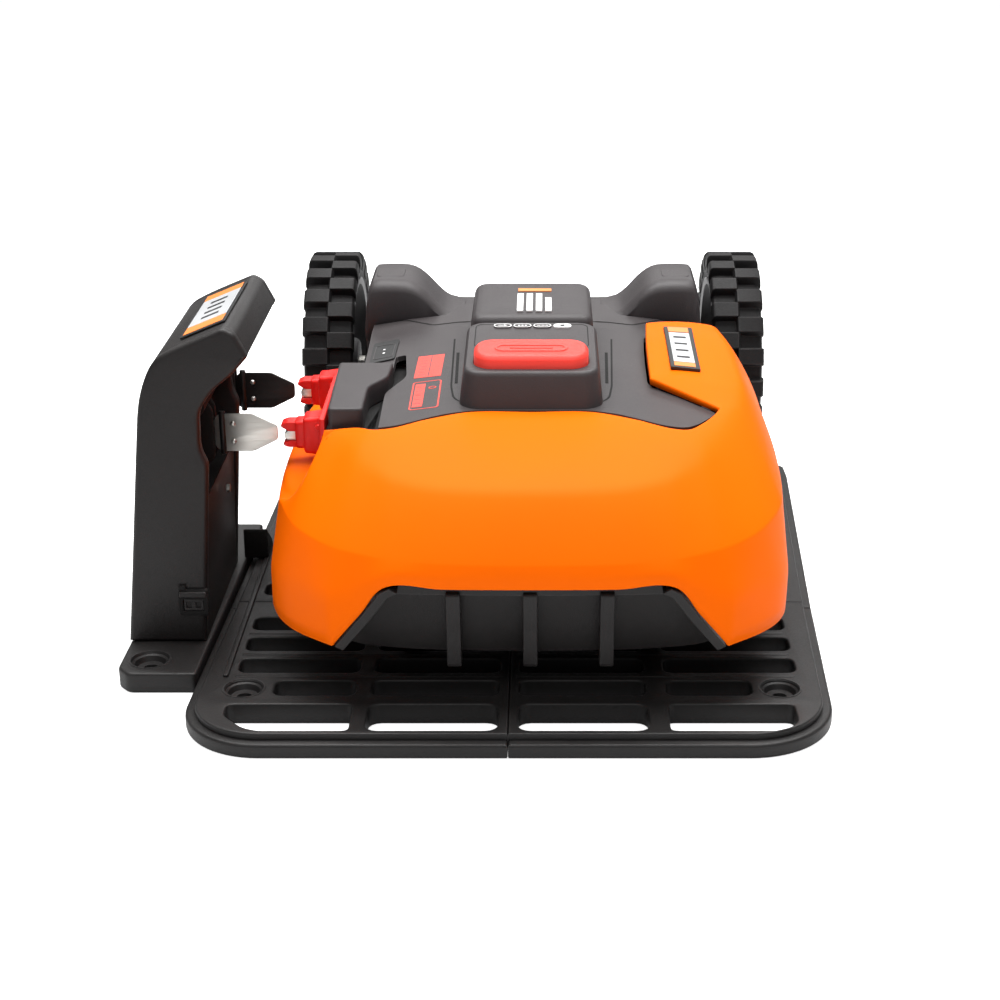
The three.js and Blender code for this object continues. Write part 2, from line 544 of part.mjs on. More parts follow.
// swivelling front caster; its wheel trails behind the stem
function addCaster(side, sign) {
  const x = sign * CASTER_X, y = CASTER_Y + CASTER_TRAIL;
  const z = PLATE_T + REST_GAP + CASTER_R;
  const front = CASTER_Y - 12;
  const arm = [[y - 8, z - 8], [y + 8, z - 8], [y + 8, 84], [front, 94], [front, 82], [y - 8, 76]];
  const axleHole = rodX(y, z, 3.4, 12, x - 20, x + 20);
  add('caster_fork_' + side, cut(union(
    prismX(arm, x - 17, x - 13),
    prismX(arm, x + 13, x + 17),
    box(x - 17, x + 17, front, y + 8, 84, 94),
    rodZ(x, CASTER_Y, STEM_R, 16, 90, 126),
  ), axleHole), DARK);
  add('caster_axle_' + side, rodX(y, z, 3, 12, x - 18.5, x + 18.5), STEEL);
  const wheel = rodX(y, z, CASTER_R, 24, x - 9, x + 9);
  const hub = rodX(y, z, 8, 12, x - 12.5, x + 12.5);
  add('caster_wheel_' + side, cut(union(wheel, hub), axleHole), TYRE);
}

for (const [side, sign] of SIDES) {
  addDriveWheel(side, sign);
  addCaster(side, sign);
}

// ---------- mower: blade motor, disc and three pivoting blades ----------
const PIVOT_R = 66;
// along and across the blade from its pivot
const CUTTER = [[-8, -7], [30, -8], [34, -2], [30, 8], [-8, 7]];
const pivots = [0, 1, 2].map((k) => {
  const angle = k * 2 * Math.PI / 3 + Math.PI / 2;
  const cos = Math.cos(angle), sin = Math.sin(angle);
  return { cos, sin, x: PIVOT_R * cos, y: CUT_Y + PIVOT_R * sin };
});
add('blade_motor',
  union(rodZ(0, CUT_Y, 26, 20, 67, 118), rodZ(0, CUT_Y, 5, 12, 47, 68)), MOTOR_METAL);

const discBore = rodZ(0, CUT_Y, 5.5, 12, 40, 60);
const disc = cut(rodZ(0, CUT_Y, CUT_DISC_R, 36, 41, 44), discBore,
  ...pivots.map(({ x, y }) => rodZ(x, y, 3, 10, 40, 45)));
add('blade_disc', disc.add(cut(rodZ(0, CUT_Y, 16, 18, 44, 58), discBore)), DARK);

pivots.forEach(({ cos, sin, x, y }, i) => {
  const outline = CUTTER.map(([along, across]) =>
    [x + along * cos - across * sin, y + along * sin + across * cos]);
  add('cutter_blade_' + (i + 1),
    cut(prismZ(outline, 39.2, 40.2), rodZ(x, y, 3.2, 10, 38, 42)), STEEL);
  add('blade_screw_' + (i + 1),
    union(rodZ(x, y, 5.5, 10, 36.4, 38.6), rodZ(x, y, 2.6, 10, 38, 43.8)), STEEL);
});

add('main_circuit_board', box(-60, 60, -318, -244, 142, 143.8), BOARD_GREEN);

group.userData.triangles = group.children
  .reduce((sum, { geometry }) => sum + geometry.attributes.position.count / 3, 0);

export default group;
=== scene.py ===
# A robot lawn mower docked at its charging base, beside the contact tower.
# The floor is z = 0 and +Z is up. The mower's front faces -Y, its drive axle lies at y = 0,
# and the tower stands on its left, at -X. Shape tables are in millimetres; the scene is in metres.
import bpy
import bmesh
import math
from mathutils import Vector, Matrix


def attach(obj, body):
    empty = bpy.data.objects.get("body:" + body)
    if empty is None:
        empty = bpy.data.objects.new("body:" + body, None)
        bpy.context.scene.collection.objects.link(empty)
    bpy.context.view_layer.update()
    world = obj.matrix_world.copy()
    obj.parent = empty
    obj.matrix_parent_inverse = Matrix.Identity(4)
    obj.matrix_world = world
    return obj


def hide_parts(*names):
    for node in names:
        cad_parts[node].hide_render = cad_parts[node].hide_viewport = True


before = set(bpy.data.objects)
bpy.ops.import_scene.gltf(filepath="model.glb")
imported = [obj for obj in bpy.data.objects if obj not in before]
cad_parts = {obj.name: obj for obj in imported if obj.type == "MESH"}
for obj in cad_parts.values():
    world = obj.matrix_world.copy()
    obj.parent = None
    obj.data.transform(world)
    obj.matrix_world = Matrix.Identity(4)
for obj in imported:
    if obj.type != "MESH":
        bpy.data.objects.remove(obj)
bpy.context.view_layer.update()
MILLI = 0.001
DOCK = "charging_base"
MOWER = "mower"
SIDES = ((-1, "left"), (1, "right"))
CONTACT_Y = {"front": -307, "rear": -204}


# ------------------------------------------------------------------ shader helpers
def wire(tree, node, sockets):
    """fill the inputs of a node; an output is linked, anything else is set as a value"""
    for key, value in sockets.items():
        if isinstance(value, bpy.types.NodeSocket):
            tree.links.new(value, node.inputs[key])
        else:
            node.inputs[key].default_value = value


def add_node(tree, kind, sockets=None, **settings):
    node = tree.nodes.new("ShaderNode" + kind)
    for key, value in settings.items():
        setattr(node, key, value)
    wire(tree, node, sockets or {})
    return node


def noise(tree, coords, scale, detail):
    sockets = {"Vector": coords, "Scale": scale, "Detail": detail}
    return add_node(tree, "TexNoise", sockets).outputs["Fac"]


def map_range(tree, value, source, target):
    """source and target are (min, max)"""
    return add_node(tree, "MapRange", {
        "Value": value, "From Min": source[0], "From Max": source[1],
        "To Min": target[0], "To Max": target[1]}).outputs["Result"]


def math_node(tree, operation, first, second, clamp=False):
    return add_node(tree, "Math", {0: first, 1: second},
                    operation=operation, use_clamp=clamp).outputs["Value"]


def mix_color(tree, factor, base, over):
    return add_node(tree, "Mix", {"Factor": factor, 6: base, 7: (*over, 1)},
                    data_type="RGBA").outputs[2]


def edge_wear(tree, coords, base, wear, worn, radius):
    """the worn colour, in patches, where the surface bends sharply"""
    bevel = add_node(tree, "Bevel", {"Radius": radius}, samples=3)
    geometry = add_node(tree, "NewGeometry")
    bend = add_node(tree, "VectorMath", {0: bevel.outputs["Normal"],
                                         1: geometry.outputs["Normal"]}, operation="DOT_PRODUCT")
    edge = map_range(tree, bend.outputs["Value"], (0.995, 0.90), (0.0, wear))
    patch = noise(tree, coords, scale=60.0, detail=2.0)
    return mix_color(tree, math_node(tree, "MULTIPLY", edge, patch), base, worn)


def top_dust(tree, coords, base, dust):
    """grey dust, in patches, on faces that look up"""
    geometry = add_node(tree, "NewGeometry")
    normal = add_node(tree, "SeparateXYZ", {"Vector": geometry.outputs["Normal"]})
    patch = noise(tree, coords, scale=35.0, detail=6.0)
    amount = math_node(tree, "MULTIPLY", normal.outputs["Z"], patch, clamp=True)
    amount = math_node(tree, "MULTIPLY", amount, dust)
    return mix_color(tree, amount, base, over=(0.32, 0.30, 0.28))


def material(name, color, rough, metallic=0.0, specular=0.5, grain=1400.0, bump=0.12,
             tint_var=0.08, rough_var=0.10, wear=0.0, wear_color=None, edge=0.0012,
             streak=(1, 1, 1), dust=0.0):
    """grained material with slow variation in tint and roughness

    grain and streak: scale and stretch of the fine noise, which drives the bump
    wear, wear_color, edge: strength, colour and width (m) of the rubbed edges
    """
    result = bpy.data.materials.new(name)
    result.use_nodes = True
    tree = result.node_tree
    tree.nodes.clear()
    output = add_node(tree, "OutputMaterial")
    shader = add_node(tree, "BsdfPrincipled")
    wire(tree, output, {"Surface": shader.outputs["BSDF"]})
    coords = add_node(tree, "TexCoord").outputs["Object"]
    mapping = add_node(tree, "Mapping", {"Vector": coords, "Scale": streak})
    slow = noise(tree, coords, scale=9.0, detail=5.0)
    fine = noise(tree, mapping.outputs["Vector"], scale=grain, detail=3.0)

    tint = map_range(tree, slow, (0.3, 0.7), (1.0 - tint_var, 1.0 + tint_var))
    surface = add_node(tree, "VectorMath", {0: color, "Scale": tint},
                       operation="SCALE").outputs["Vector"]
    if wear > 0:
        worn = wear_color or [min(1, c * 1.8 + 0.03) for c in color]
        surface = edge_wear(tree, coords, surface, wear, worn, edge)
    if dust > 0:
        surface = top_dust(tree, coords, surface, dust)

    mean = math_node(tree, "MULTIPLY", math_node(tree, "ADD", slow, fine), 0.5)
    roughness = map_range(tree, mean, (0.3, 0.7),
                          (max(0.02, rough - rough_var), min(1, rough + rough_var)))
    relief = add_node(tree, "Bump", {"Strength": bump, "Distance": 0.0004, "Height": fine})
    wire(tree, shader, {
        "Base Color": surface, "Roughness": roughness, "Metallic": metallic,
        "Specular IOR Level": specular, "Coat Roughness": 0.25,
        "Normal": relief.outputs["Normal"]})
    return result


# ------------------------------------------------------------------ materials
MATERIALS = {
    "base": material(
        "base_black", color=(0.0085, 0.0077, 0.0078), rough=0.46, specular=0.34, bump=0.35,
        grain=1100, tint_var=0.14, wear=0.5, wear_color=(0.12, 0.115, 0.117), dust=0.04),
    "tower": material(
        "tower_black", color=(0.0105, 0.0088, 0.0088), rough=0.46, specular=0.30, bump=0.38,
        grain=1200, tint_var=0.10, wear=0.4, wear_color=(0.15, 0.145, 0.147), dust=0.05),
    "deck": material(
        "deck_grey", color=(0.040, 0.0345, 0.036), rough=0.44, specular=0.30, bump=0.38,
        grain=1300, tint_var=0.08, wear=0.4, wear_color=(0.20, 0.19, 0.195), dust=0.06),
    # bay: near-black painted shade for the tower's shadowed bay, much darker than the tower's own
    # plastic
    "bay": material(
        "bay_painted_shade", color=(0.0022, 0.0019, 0.0018), rough=0.85, specular=0.08, bump=0.2,
        grain=900, tint_var=0.2),
    "dark": material(
        "inner_black", color=(0.0055, 0.005, 0.005), rough=0.66, specular=0.22, bump=0.25,
        grain=900, tint_var=0.15, wear=0.25),
    "orange": material(
        "shell_orange", color=(1.0, 0.145, 0.0), rough=0.50, specular=0.045, bump=0.06,
        grain=1500, tint_var=0.025, rough_var=0.05, wear=0.18, wear_color=(1.0, 0.19, 0.0)),
    "red": material(
        "contact_red", color=(0.80, 0.014, 0.010), rough=0.38, specular=0.28, bump=0.12,
        grain=1500, tint_var=0.05, wear=0.4, wear_color=(0.95, 0.12, 0.09)),
    "red_top": material(
        "button_red", color=(0.90, 0.062, 0.045), rough=0.42, specular=0.30, bump=0.3,
        grain=1500, tint_var=0.05, wear=0.4, wear_color=(0.98, 0.16, 0.12)),
    "tyre": material(
        "tyre_rubber", color=(0.0075, 0.007, 0.0074), rough=0.60, specular=0.22, bump=0.6,
        grain=700, tint_var=0.25, rough_var=0.12, wear=0.5, wear_color=(0.085, 0.08, 0.08),
        edge=0.002, dust=0.03),
    "hub": material(
        "hub_grey", color=(0.050, 0.048, 0.05), rough=0.5, bump=0.3, grain=1200,
        tint_var=0.1, wear=0.4),
    "steel": material(
        "satin_steel", color=(0.62, 0.60, 0.56), rough=0.34, metallic=1.0, bump=0.25,
        grain=240, tint_var=0.06, rough_var=0.08, wear=0.4, wear_color=(0.8, 0.79, 0.77),
        streak=(0.15, 1, 6)),
    "black_steel": material(
        "blackened_steel", color=(0.022, 0.021, 0.021), rough=0.38, metallic=0.6, bump=0.25,
        grain=300, tint_var=0.2, wear=0.8, wear_color=(0.25, 0.24, 0.22),
        streak=(0.15, 1, 6)),
    "pcb": material(
        "circuit_green", color=(0.015, 0.10, 0.035), rough=0.35, bump=0.2, grain=300,
        tint_var=0.2),
    "badge": material(
        "badge_silver", color=(0.60, 0.61, 0.62), rough=0.38, metallic=0.25, bump=0.15,
        grain=500, tint_var=0.06, streak=(1, 8, 1)),
    "badge_orange": material(
        "badge_orange", color=(0.90, 0.25, 0.05), rough=0.4, bump=0.1, grain=900,
        tint_var=0.05),
    "ink": material(
        "badge_black", color=(0.012, 0.012, 0.012), rough=0.5, bump=0.15, grain=900,
        tint_var=0.1),
    "white": material(
        "print_white", color=(0.78, 0.78, 0.77), rough=0.45, bump=0.12, grain=1100,
        tint_var=0.04),
    "print_red": material(
        "print_red", color=(0.80, 0.06, 0.04), rough=0.5, bump=0.12, grain=1100,
        tint_var=0.06),
    "motor": material(
        "motor_metal", color=(0.35, 0.35, 0.36), rough=0.4, metallic=0.9, bump=0.2,
        grain=400, tint_var=0.08),
}

# A look is (material, body the piece rides on, slot).
BASE = ("base", DOCK, "base_plastic")
TOWER = ("tower", DOCK, "base_plastic")
DOCK_DARK = ("dark", DOCK, "base_plastic")
DOCK_STEEL = ("steel", DOCK, "steel")
DECK = ("deck", MOWER, "grey_plastic")
GROOVE = ("dark", MOWER, "grey_plastic")
PRINT_RED = ("print_red", MOWER, "grey_plastic")
MOWER_DARK = ("dark", MOWER, "base_plastic")
SKIRT = ("tower", MOWER, "base_plastic")
RED = ("red", MOWER, "red_plastic")


# ------------------------------------------------------------------ mesh helpers
def add_bevel(obj, width, segments, angle, harden=True):
    """width in metres, angle in degrees"""
    edge = obj.modifiers.new("edge", "BEVEL")
    edge.width = width
    edge.segments = segments
    edge.limit_method = "ANGLE"
    edge.angle_limit = math.radians(angle)
    edge.harden_normals = harden


def thicken(obj, thickness):
    """grow a skin inwards"""
    solid = obj.modifiers.new("thick", "SOLIDIFY")
    solid.thickness = thickness * MILLI
    solid.offset = -1


def finish_mesh(name, mesh, look, smooth=35, bevel=0.0, segments=2, replaces=()):
    """link a mesh as an object, attach it to its body and hide the parts it replaces; edges over
    smooth degrees stay sharp
    """
    mat, body, slot = look
    mesh.materials.clear()
    mesh.materials.append(MATERIALS[mat])
    obj = bpy.data.objects.new(name, mesh)
    bpy.context.scene.collection.objects.link(obj)
    for polygon in mesh.polygons:
        polygon.use_smooth = True
    mesh.set_sharp_from_angle(angle=math.radians(smooth))
    if bevel > 0:
        add_bevel(obj, bevel * MILLI, segments, angle=32)
    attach(obj, body)
    if replaces:
        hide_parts(*replaces)
    return obj


def raw_mesh(name, verts, faces):
    mesh = bpy.data.meshes.new(name)
    mesh.from_pydata([(x * MILLI, y * MILLI, z * MILLI) for x, y, z in verts], [], faces)
    return mesh


def from_data(name, verts, faces, look, **extra):
    mesh = raw_mesh(name, verts, faces)
    mesh.validate()
    mesh.update()
    work = bmesh.new()
    work.from_mesh(mesh)
    bmesh.ops.recalc_face_normals(work, faces=work.faces)
    work.to_mesh(mesh)
    work.free()
    return finish_mesh(name, mesh, look, **extra)


def join_data(parts):
    verts, faces = [], []
    for part_verts, part_faces in parts:
        start = len(verts)
        verts += part_verts
        faces += [tuple(i + start for i in face) for face in part_faces]
    return verts, faces


def ring_loft(rings):
    """closed rings of equal count joined in order, with both ends capped"""
    n = len(rings[0])
    verts = [point for ring in rings for point in ring]
    faces = []
    for r in range(len(rings) - 1):
        for i in range(n):
            a, b = r * n + i, r * n + (i + 1) % n
            faces.append((a, b, b + n, a + n))
    faces.append(tuple(reversed(range(n))))
    faces.append(tuple((len(rings) - 1) * n + i for i in range(n)))
    return verts, faces


def lathe(profile, n, axis, centre=(0, 0, 0)):
    """closed profile of (radius, height) turned about an axis through centre"""
    verts, faces = [], []
    k = len(profile)
    for i in range(n):
        angle = 2 * math.pi * i / n
        for radius, height in profile:
            c, s = radius * math.cos(angle), radius * math.sin(angle)
            point = {"z": (c, s, height), "x": (height, c, s), "y": (s, height, c)}[axis]
            verts.append(tuple(p + q for p, q in zip(point, centre)))
    for i in range(n):
        here, there = i * k, ((i + 1) % n) * k
        for j in range(k):
            after = (j + 1) % k
            faces.append((here + j, here + after, there + after, there + j))
    return verts, faces


def arc(cx, cy, radius, start, end, n):
    """n + 1 points from start to end, in degrees"""
    points = []
    for i in range(n + 1):
        angle = math.radians(start + (end - start) * i / n)
        points.append((cx + radius * math.cos(angle), cy + radius * math.sin(angle)))
    return points


def rounded(x0, y0, x1, y1, radius, n=5):
    """rectangle with round corners, anticlockwise"""
    r = radius
    return (arc(x1 - r, y1 - r, r, 0, 90, n) + arc(x0 + r, y1 - r, r, 90, 180, n)
            + arc(x0 + r, y0 + r, r, 180, 270, n) + arc(x1 - r, y0 + r, r, 270, 360, n))


def centred(half, y0, y1, radius, n, inset=0.0):
    """rounded rectangle centred on x = 0; the inset moves its sides, not its radius"""
    return rounded(-half + inset, y0 + inset, half - inset, y1 - inset, radius, n)


def circle(cx, cy, radius, n):
    angles = [2 * math.pi * i / n for i in range(n)]
    return [(cx + radius * math.cos(a), cy + radius * math.sin(a)) for a in angles]


def area(outline):
    pairs = zip(outline, outline[1:] + outline[:1])
    return sum(a[0] * b[1] - b[0] * a[1] for a, b in pairs) / 2


def quadratic(start, corner, end, t):
    return start * (1 - t) ** 2 + corner * 2 * t * (1 - t) + end * t * t


def round_poly(points, radii, n=5):
    """closed polygon with rounded corners; radii is one number or one per corner"""
    out = []
    for i, point in enumerate(points):
        radius = radii if isinstance(radii, (int, float)) else radii[i]
        corner = Vector(point)
        if radius <= 0:
            out.append(tuple(corner))
            continue
        back = Vector(points[i - 1]) - corner
        ahead = Vector(points[(i + 1) % len(points)]) - corner
        start = corner + back.normalized() * min(radius, back.length * 0.48)
        end = corner + ahead.normalized() * min(radius, ahead.length * 0.48)
        out += [tuple(quadratic(start, corner, end, j / n)) for j in range(n + 1)]
    return out


def dense(points, step=4.0, closed=True):
    """a flat path cut into pieces of about one step"""
    out = []
    for i in range(len(points) if closed else len(points) - 1):
        a, b = Vector(points[i]), Vector(points[(i + 1) % len(points)])
        pieces = max(1, int((b - a).length / step))
        out += [tuple(a.lerp(b, j / pieces)) for j in range(pieces)]
    if not closed:
        out.append(tuple(points[-1]))
    return out


def filled_curve(name, loops, **settings):
    """a filled flat curve as a mesh, and the same shape welded in a bmesh"""
    curve = bpy.data.curves.new(name, "CURVE")
    curve.dimensions = "2D"
    curve.fill_mode = "BOTH"
    for loop in loops:
        spline = curve.splines.new("POLY")
        spline.points.add(len(loop) - 1)
        for i, (x, y) in enumerate(loop):
            spline.points[i].co = (x * MILLI, y * MILLI, 0, 1)
        spline.use_cyclic_u = True
    for key, value in settings.items():
        setattr(curve, key, value)
    holder = bpy.data.objects.new(name + "_tmp", curve)
    bpy.context.scene.collection.objects.link(holder)
    bpy.context.view_layer.update()
    depsgraph = bpy.context.evaluated_depsgraph_get()
    mesh = bpy.data.meshes.new_from_object(holder.evaluated_get(depsgraph))
    bpy.data.objects.remove(holder)
    bpy.data.curves.remove(curve)
    work = bmesh.new()
    work.from_mesh(mesh)
    bmesh.ops.remove_doubles(work, verts=work.verts, dist=0.00002)
    return mesh, work


def prism_mesh(name, outline, holes, depth, bevel, res):
    """outline with holes, from 0 to depth along z, with rounded edges on both faces"""
    if area(outline) < 0:
        outline = outline[::-1]
    mesh, work = filled_curve(
        name, [outline] + list(holes), extrude=max(depth / 2 - bevel, 0.01) * MILLI,
        bevel_depth=bevel * MILLI, bevel_resolution=res, offset=-bevel * MILLI)
    mesh.name = name
    bmesh.ops.translate(work, verts=work.verts, vec=(0, 0, depth / 2 * MILLI))
    work.to_mesh(mesh)
    work.free()
    return mesh


AXES = {
    "x": Matrix(((0, 0, 1), (1, 0, 0), (0, 1, 0))),     # (y, z) outline, depth runs to +X
    "y": Matrix(((1, 0, 0), (0, 0, -1), (0, 1, 0))),    # (x, z) outline, depth runs to -Y
    "z": Matrix.Identity(3),
}


def plate(name, axis, outline, start, end, look, holes=(), bevel=1.0, res=3, **extra):
    """a prism between start and end along an axis, with rounded edges"""
    mesh = prism_mesh(name, outline, holes, end - start, bevel, res)
    matrix = AXES[axis].to_4x4()
    matrix["xyz".index(axis)][3] = (end if axis == "y" else start) * MILLI
    mesh.transform(matrix)
    mesh.update()
    return finish_mesh(name, mesh, look, **extra)


def slanted(name, corners, thick, look, bevel=0.4, **extra):
    """a thin plate standing on a slanted quad"""
    a, b, c = [Vector(corner) for corner in corners[:3]]
    normal = (b - a).cross(c - a).normalized()
    if normal.z < 0:
        normal = -normal
    verts = [tuple(Vector(p)) for p in corners]
    verts += [tuple(Vector(p) + normal * thick) for p in corners]
    faces = [(3, 2, 1, 0), (4, 5, 6, 7), (0, 1, 5, 4), (1, 2, 6, 5), (2, 3, 7, 6), (3, 0, 4, 7)]
    return from_data(name, verts, faces, look, bevel=bevel, **extra)


def badge(name, body, place, layers):
    """layers of (suffix, material, u0, u1, v0, v1, lift, thickness, bevel)

    place(u, v, lift) gives a point over the sloping surface
    """
    for suffix, mat, u0, u1, v0, v1, lift, thick, bevel in layers:
        corners = [place(u, v, lift) for u, v in ((u0, v0), (u1, v0), (u1, v1), (u0, v1))]
        slanted(name + "_" + suffix, corners, thick, (mat, body, "badge"), bevel=bevel,
                replaces=(name,) if suffix == "frame" else ())


# ------------------------------------------------------------------ charging base
BASE_TOP = 16.0
BASE_FRONT = -531
BASE_REAR = 16
SEAM_Y = -309.0         # between the front plates and the rear plate
SPLIT_X = -15.0         # between the two front plates
SEAM_GAP = 0.12
COLUMNS = [(-212, -124), (-113, -22), (-8.5, 82), (96, 184)]    # x range of each slot column
ROW_PITCH = 35.7
SLOT_DEPTH = 23.0
FRONT_ROW_Y = -467.4
REAR_ROW_Y = -296
NOSE_Y = (-518.8, -481)     # the large openings along the front edge
BOSS_HOLE = 13.2
SCREWS = {"left": (-203.7, -456.7), "right": (177.2, -456.7), "tower": (-279.3, -411)}


def left_edge(y):
    """x of the left side; the plate narrows a little towards its rear"""
    return -241.5 + 13 * (y + 470) / 486


def edge_path(part, inset):
    """the outer edge of one plate from seam to seam"""
    o, gap = inset, SEAM_GAP
    if part == "left":
        corner = arc(-184.5, BASE_FRONT + 57.5, 57.5 - o, 270, 180, 16)
        end = (left_edge(SEAM_Y) + o, SEAM_Y - gap)
        return [(SPLIT_X - gap, BASE_FRONT + o)] + corner + [end]
    if part == "right":
        corner = arc(149.8, BASE_FRONT + 62.7, 62.7 - o, 270, 358, 16)
        return [(SPLIT_X + gap, BASE_FRONT + o)] + corner + [(219.5 - o, SEAM_Y - gap)]
    return [(219.5 - o, SEAM_Y + gap), (236.5 - o, -14), (236 - o, 10 - 0.6 * o),
            (231 - o, BASE_REAR - o), (left_edge(BASE_REAR) + o, BASE_REAR - o),
            (left_edge(SEAM_Y) + o, SEAM_Y + gap)]


def plate_outline(part, inset):
    """the inset edge, closed along the seams"""
    edge = edge_path(part, inset)
    return edge if part == "rear" else edge + [(edge[0][0], edge[-1][1])]


def slot_hole(x0, x1, y):
    return rounded(x0, y, x1, y + SLOT_DEPTH, 6.5, 4)


def base_holes(part):
    holes = []
    if part == "rear":
        for row in range(7):
            for i, (x0, x1) in enumerate(COLUMNS):
                widen = 10 if i == 3 else 0
                holes.append(slot_hole(x0, x1 + widen, REAR_ROW_Y + row * ROW_PITCH))
        return holes
    columns = (0, 1) if part == "left" else (2, 3)
    for row in range(4):
        for i in columns:
            x0, x1 = COLUMNS[i]
            if i == 0 and row == 0:
                x0 = -182
            if i == 3:
                x1 = 157 if row == 0 else x1 + 8
            holes.append(slot_hole(x0, x1, FRONT_ROW_Y + row * ROW_PITCH))
    y0, y1 = NOSE_Y
    for i in columns:
        x0, x1 = COLUMNS[i]
        if i == 0:
            corner = [(x0, y1), (x0, -497), (-197, -514), (-186, y0), (x1, y0), (x1, y1)]
            holes.append(round_poly(corner, 5, 3))
        elif i == 3:
            corner = [(x0, y1), (x0, y0), (168, y0), (176, -516), (x1, -506), (x1, y1)]
            holes.append(round_poly(corner, 5, 3))
        else:
            holes.append(rounded(x0, y0, x1, y1, 9, 4))
    holes.append(circle(*SCREWS[part], BOSS_HOLE, 28))
    return holes


for part, node_name in (("left", "base_plate_front_left"), ("right", "base_plate_front_right"),
                        ("rear", "base_plate_rear")):
    plate(node_name + "_ribs", "z", plate_outline(part, 7.0), 0.2, BASE_TOP, BASE,
          holes=base_holes(part), bevel=1.5, replaces=(node_name,))
    plate(node_name + "_rim", "z", edge_path(part, 0.0) + edge_path(part, 10.2)[::-1],
          0.0, 11.0, BASE, bevel=2.4)

# tower foot, then a countersunk boss ring round each empty hole
FOOT = [(-300.5, -424), (-291.5, -434.5), (-241.6, -434.5), (-233.7, -146), (-288, -146),
        (-297, -156)]
plate("tower_foot_slab", "z", round_poly(FOOT, 4, 4), 0, BASE_TOP, BASE,
      holes=[circle(*SCREWS["tower"], BOSS_HOLE, 28)], bevel=2.2, replaces=("tower_foot",))
BOSS = [(5.5, 1), (5.5, 9.2), (9.8, 9.6), (11.6, 13.4), (13.0, 14.2), (14.2, 16.3),
        (15.2, 16.4), (15.6, 15.4), (13.4, 1)]      # (radius, z)
for tag, (x, y) in SCREWS.items():
    from_data("hole_boss_" + tag, *lathe(BOSS, 40, "z", (x, y, 0)), BASE, smooth=30)

# ribs between the front slot rows, and one lengthwise rib by the tower
for part, x0, x1 in (("left", -213, -20), ("right", -10, 190)):
    for k in range(3):
        y = FRONT_ROW_Y + k * ROW_PITCH + SLOT_DEPTH + (ROW_PITCH - SLOT_DEPTH) / 2
        plate("cross_rib_%s_%d" % (part, k), "z", rounded(x0, y - 1.6, x1, y + 1.6, 1.5, 3),
              BASE_TOP - 1, BASE_TOP + 0.3, BASE, bevel=0.25)
plate("edge_rib_left", "z", rounded(-221.5, -440, -217.5, -160, 1.8, 3),
      BASE_TOP - 1, BASE_TOP + 2.0, BASE, bevel=0.8)

# ------------------------------------------------------------------ contact tower
# (x, z) up the outer side and over the roof, then down the inner side facing the mower
OUTER = [(-300.6, 16.5), (-283.3, 176), (-279.8, 207), (-269, 234), (-254, 243),
         (-216, 258.9), (-208.6, 254.7), (-199.9, 237.6)]
OUTER_RADII = [0, 30, 22, 18, 18, 3, 3, 1.5]
INNER = [(-211, 225), (-227, 212), (-237, 197), (-238, 168), (-233, 157), (-243, 16.5)]
panel = round_poly(OUTER + INNER, OUTER_RADII + [6, 6, 6, 8, 4, 0], 6)
plate("tower_front_panel", "y", panel, -382, -371, TOWER, bevel=3.2, res=4,
      replaces=("tower_housing",))
plate("tower_rear_panel", "y", panel, -238, -226, TOWER, bevel=3.0, res=4)

# the wall sits a hair inside the panels' outer edge
shrunk = [(x + 0.15 if i < 3 else x, z - (0.15 if i > 2 else 0))
          for i, (x, z) in enumerate(OUTER)]
WALL_INNER = [(-206, 238), (-214, 240), (-252, 229), (-268, 205), (-268, 127), (-238.5, 127),
              (-242.8, 16.6)]
wall = round_poly([(-300.5, 16.6)] + shrunk[1:] + WALL_INNER,
                  OUTER_RADII + [3, 4, 8, 8, 3, 3, 0], 6)
plate("tower_wall", "y", wall, -378, -231, TOWER, bevel=0.8, res=2)
# near-black sheet over the inside of the tower's bay: painted shade that darkens the recess, not a
# part of its own
BAY_SHADE_OUTLINE = [(-269.5, 128.5), (-236, 128.5), (-236, 130.5), (-265.5, 130.5), (-265.5, 204),
         (-250, 226.5), (-214, 237), (-214, 239.6), (-252.5, 228.8), (-269.5, 205)]
plate("bay_painted_shade_sheet", "y", round_poly(BAY_SHADE_OUTLINE, 0.8, 2), -371, -238, ("bay", DOCK, "base_plastic"),
      bevel=0.4, res=1)
BAY_RIB = [(-268, 128), (-246, 128), (-250, 150), (-250, 196), (-240, 214), (-250, 226),
           (-268, 206)]
for i, y in enumerate((-352, -330, -282, -258)):
    plate("bay_rib_%d" % i, "y", BAY_RIB, y - 1.6, y + 1.6, DOCK_DARK, bevel=0.6, res=1)

# contact holder: a pair of cheeks and a pin at each contact, a back and a bridge
CHEEK = [(-262, 134), (-250, 130), (-239.5, 138), (-239.5, 176), (-250, 192), (-262, 190)]
HOLDER_PIN = [(0.3, -9.5), (2.0, -9.5), (2.6, -8.9), (2.6, 8.9), (2.0, 9.5), (0.3, 9.5)]
for tag, y in CONTACT_Y.items():
    for offset, side in ((-6, "a"), (6, "b")):
        plate("holder_cheek_%s_%s" % (tag, side), "y", round_poly(CHEEK, 3, 3),
              y + offset - 2.2, y + offset + 2.2, DOCK_DARK, bevel=0.8, res=2,
              replaces=("contact_holder",) if (tag, side) == ("front", "a") else ())
    from_data("holder_pin_" + tag, *lathe(HOLDER_PIN, 20, "y", (-246, y, 184)), DOCK_STEEL)
plate("holder_back", "y", [(-266, 130), (-258, 130), (-258, 200), (-266, 200)], -338, -190,
      DOCK_DARK, res=2)
BRIDGE = [(-260, 176), (-246, 176), (-242, 182), (-246, 194), (-260, 196)]
plate("holder_bridge", "y", round_poly(BRIDGE, 2.5, 3), -330, -192, DOCK_DARK, res=2)
# small gusset at the rear foot of the tower
GUSSET = [(-225.6, 16.6), (-197, 16.6), (-200, 25), (-225.6, 44)]
plate("tower_gusset", "x", round_poly(GUSSET, 3, 4), -238, -218, TOWER, bevel=1.6,
      replaces=("tower_rear_gusset",))

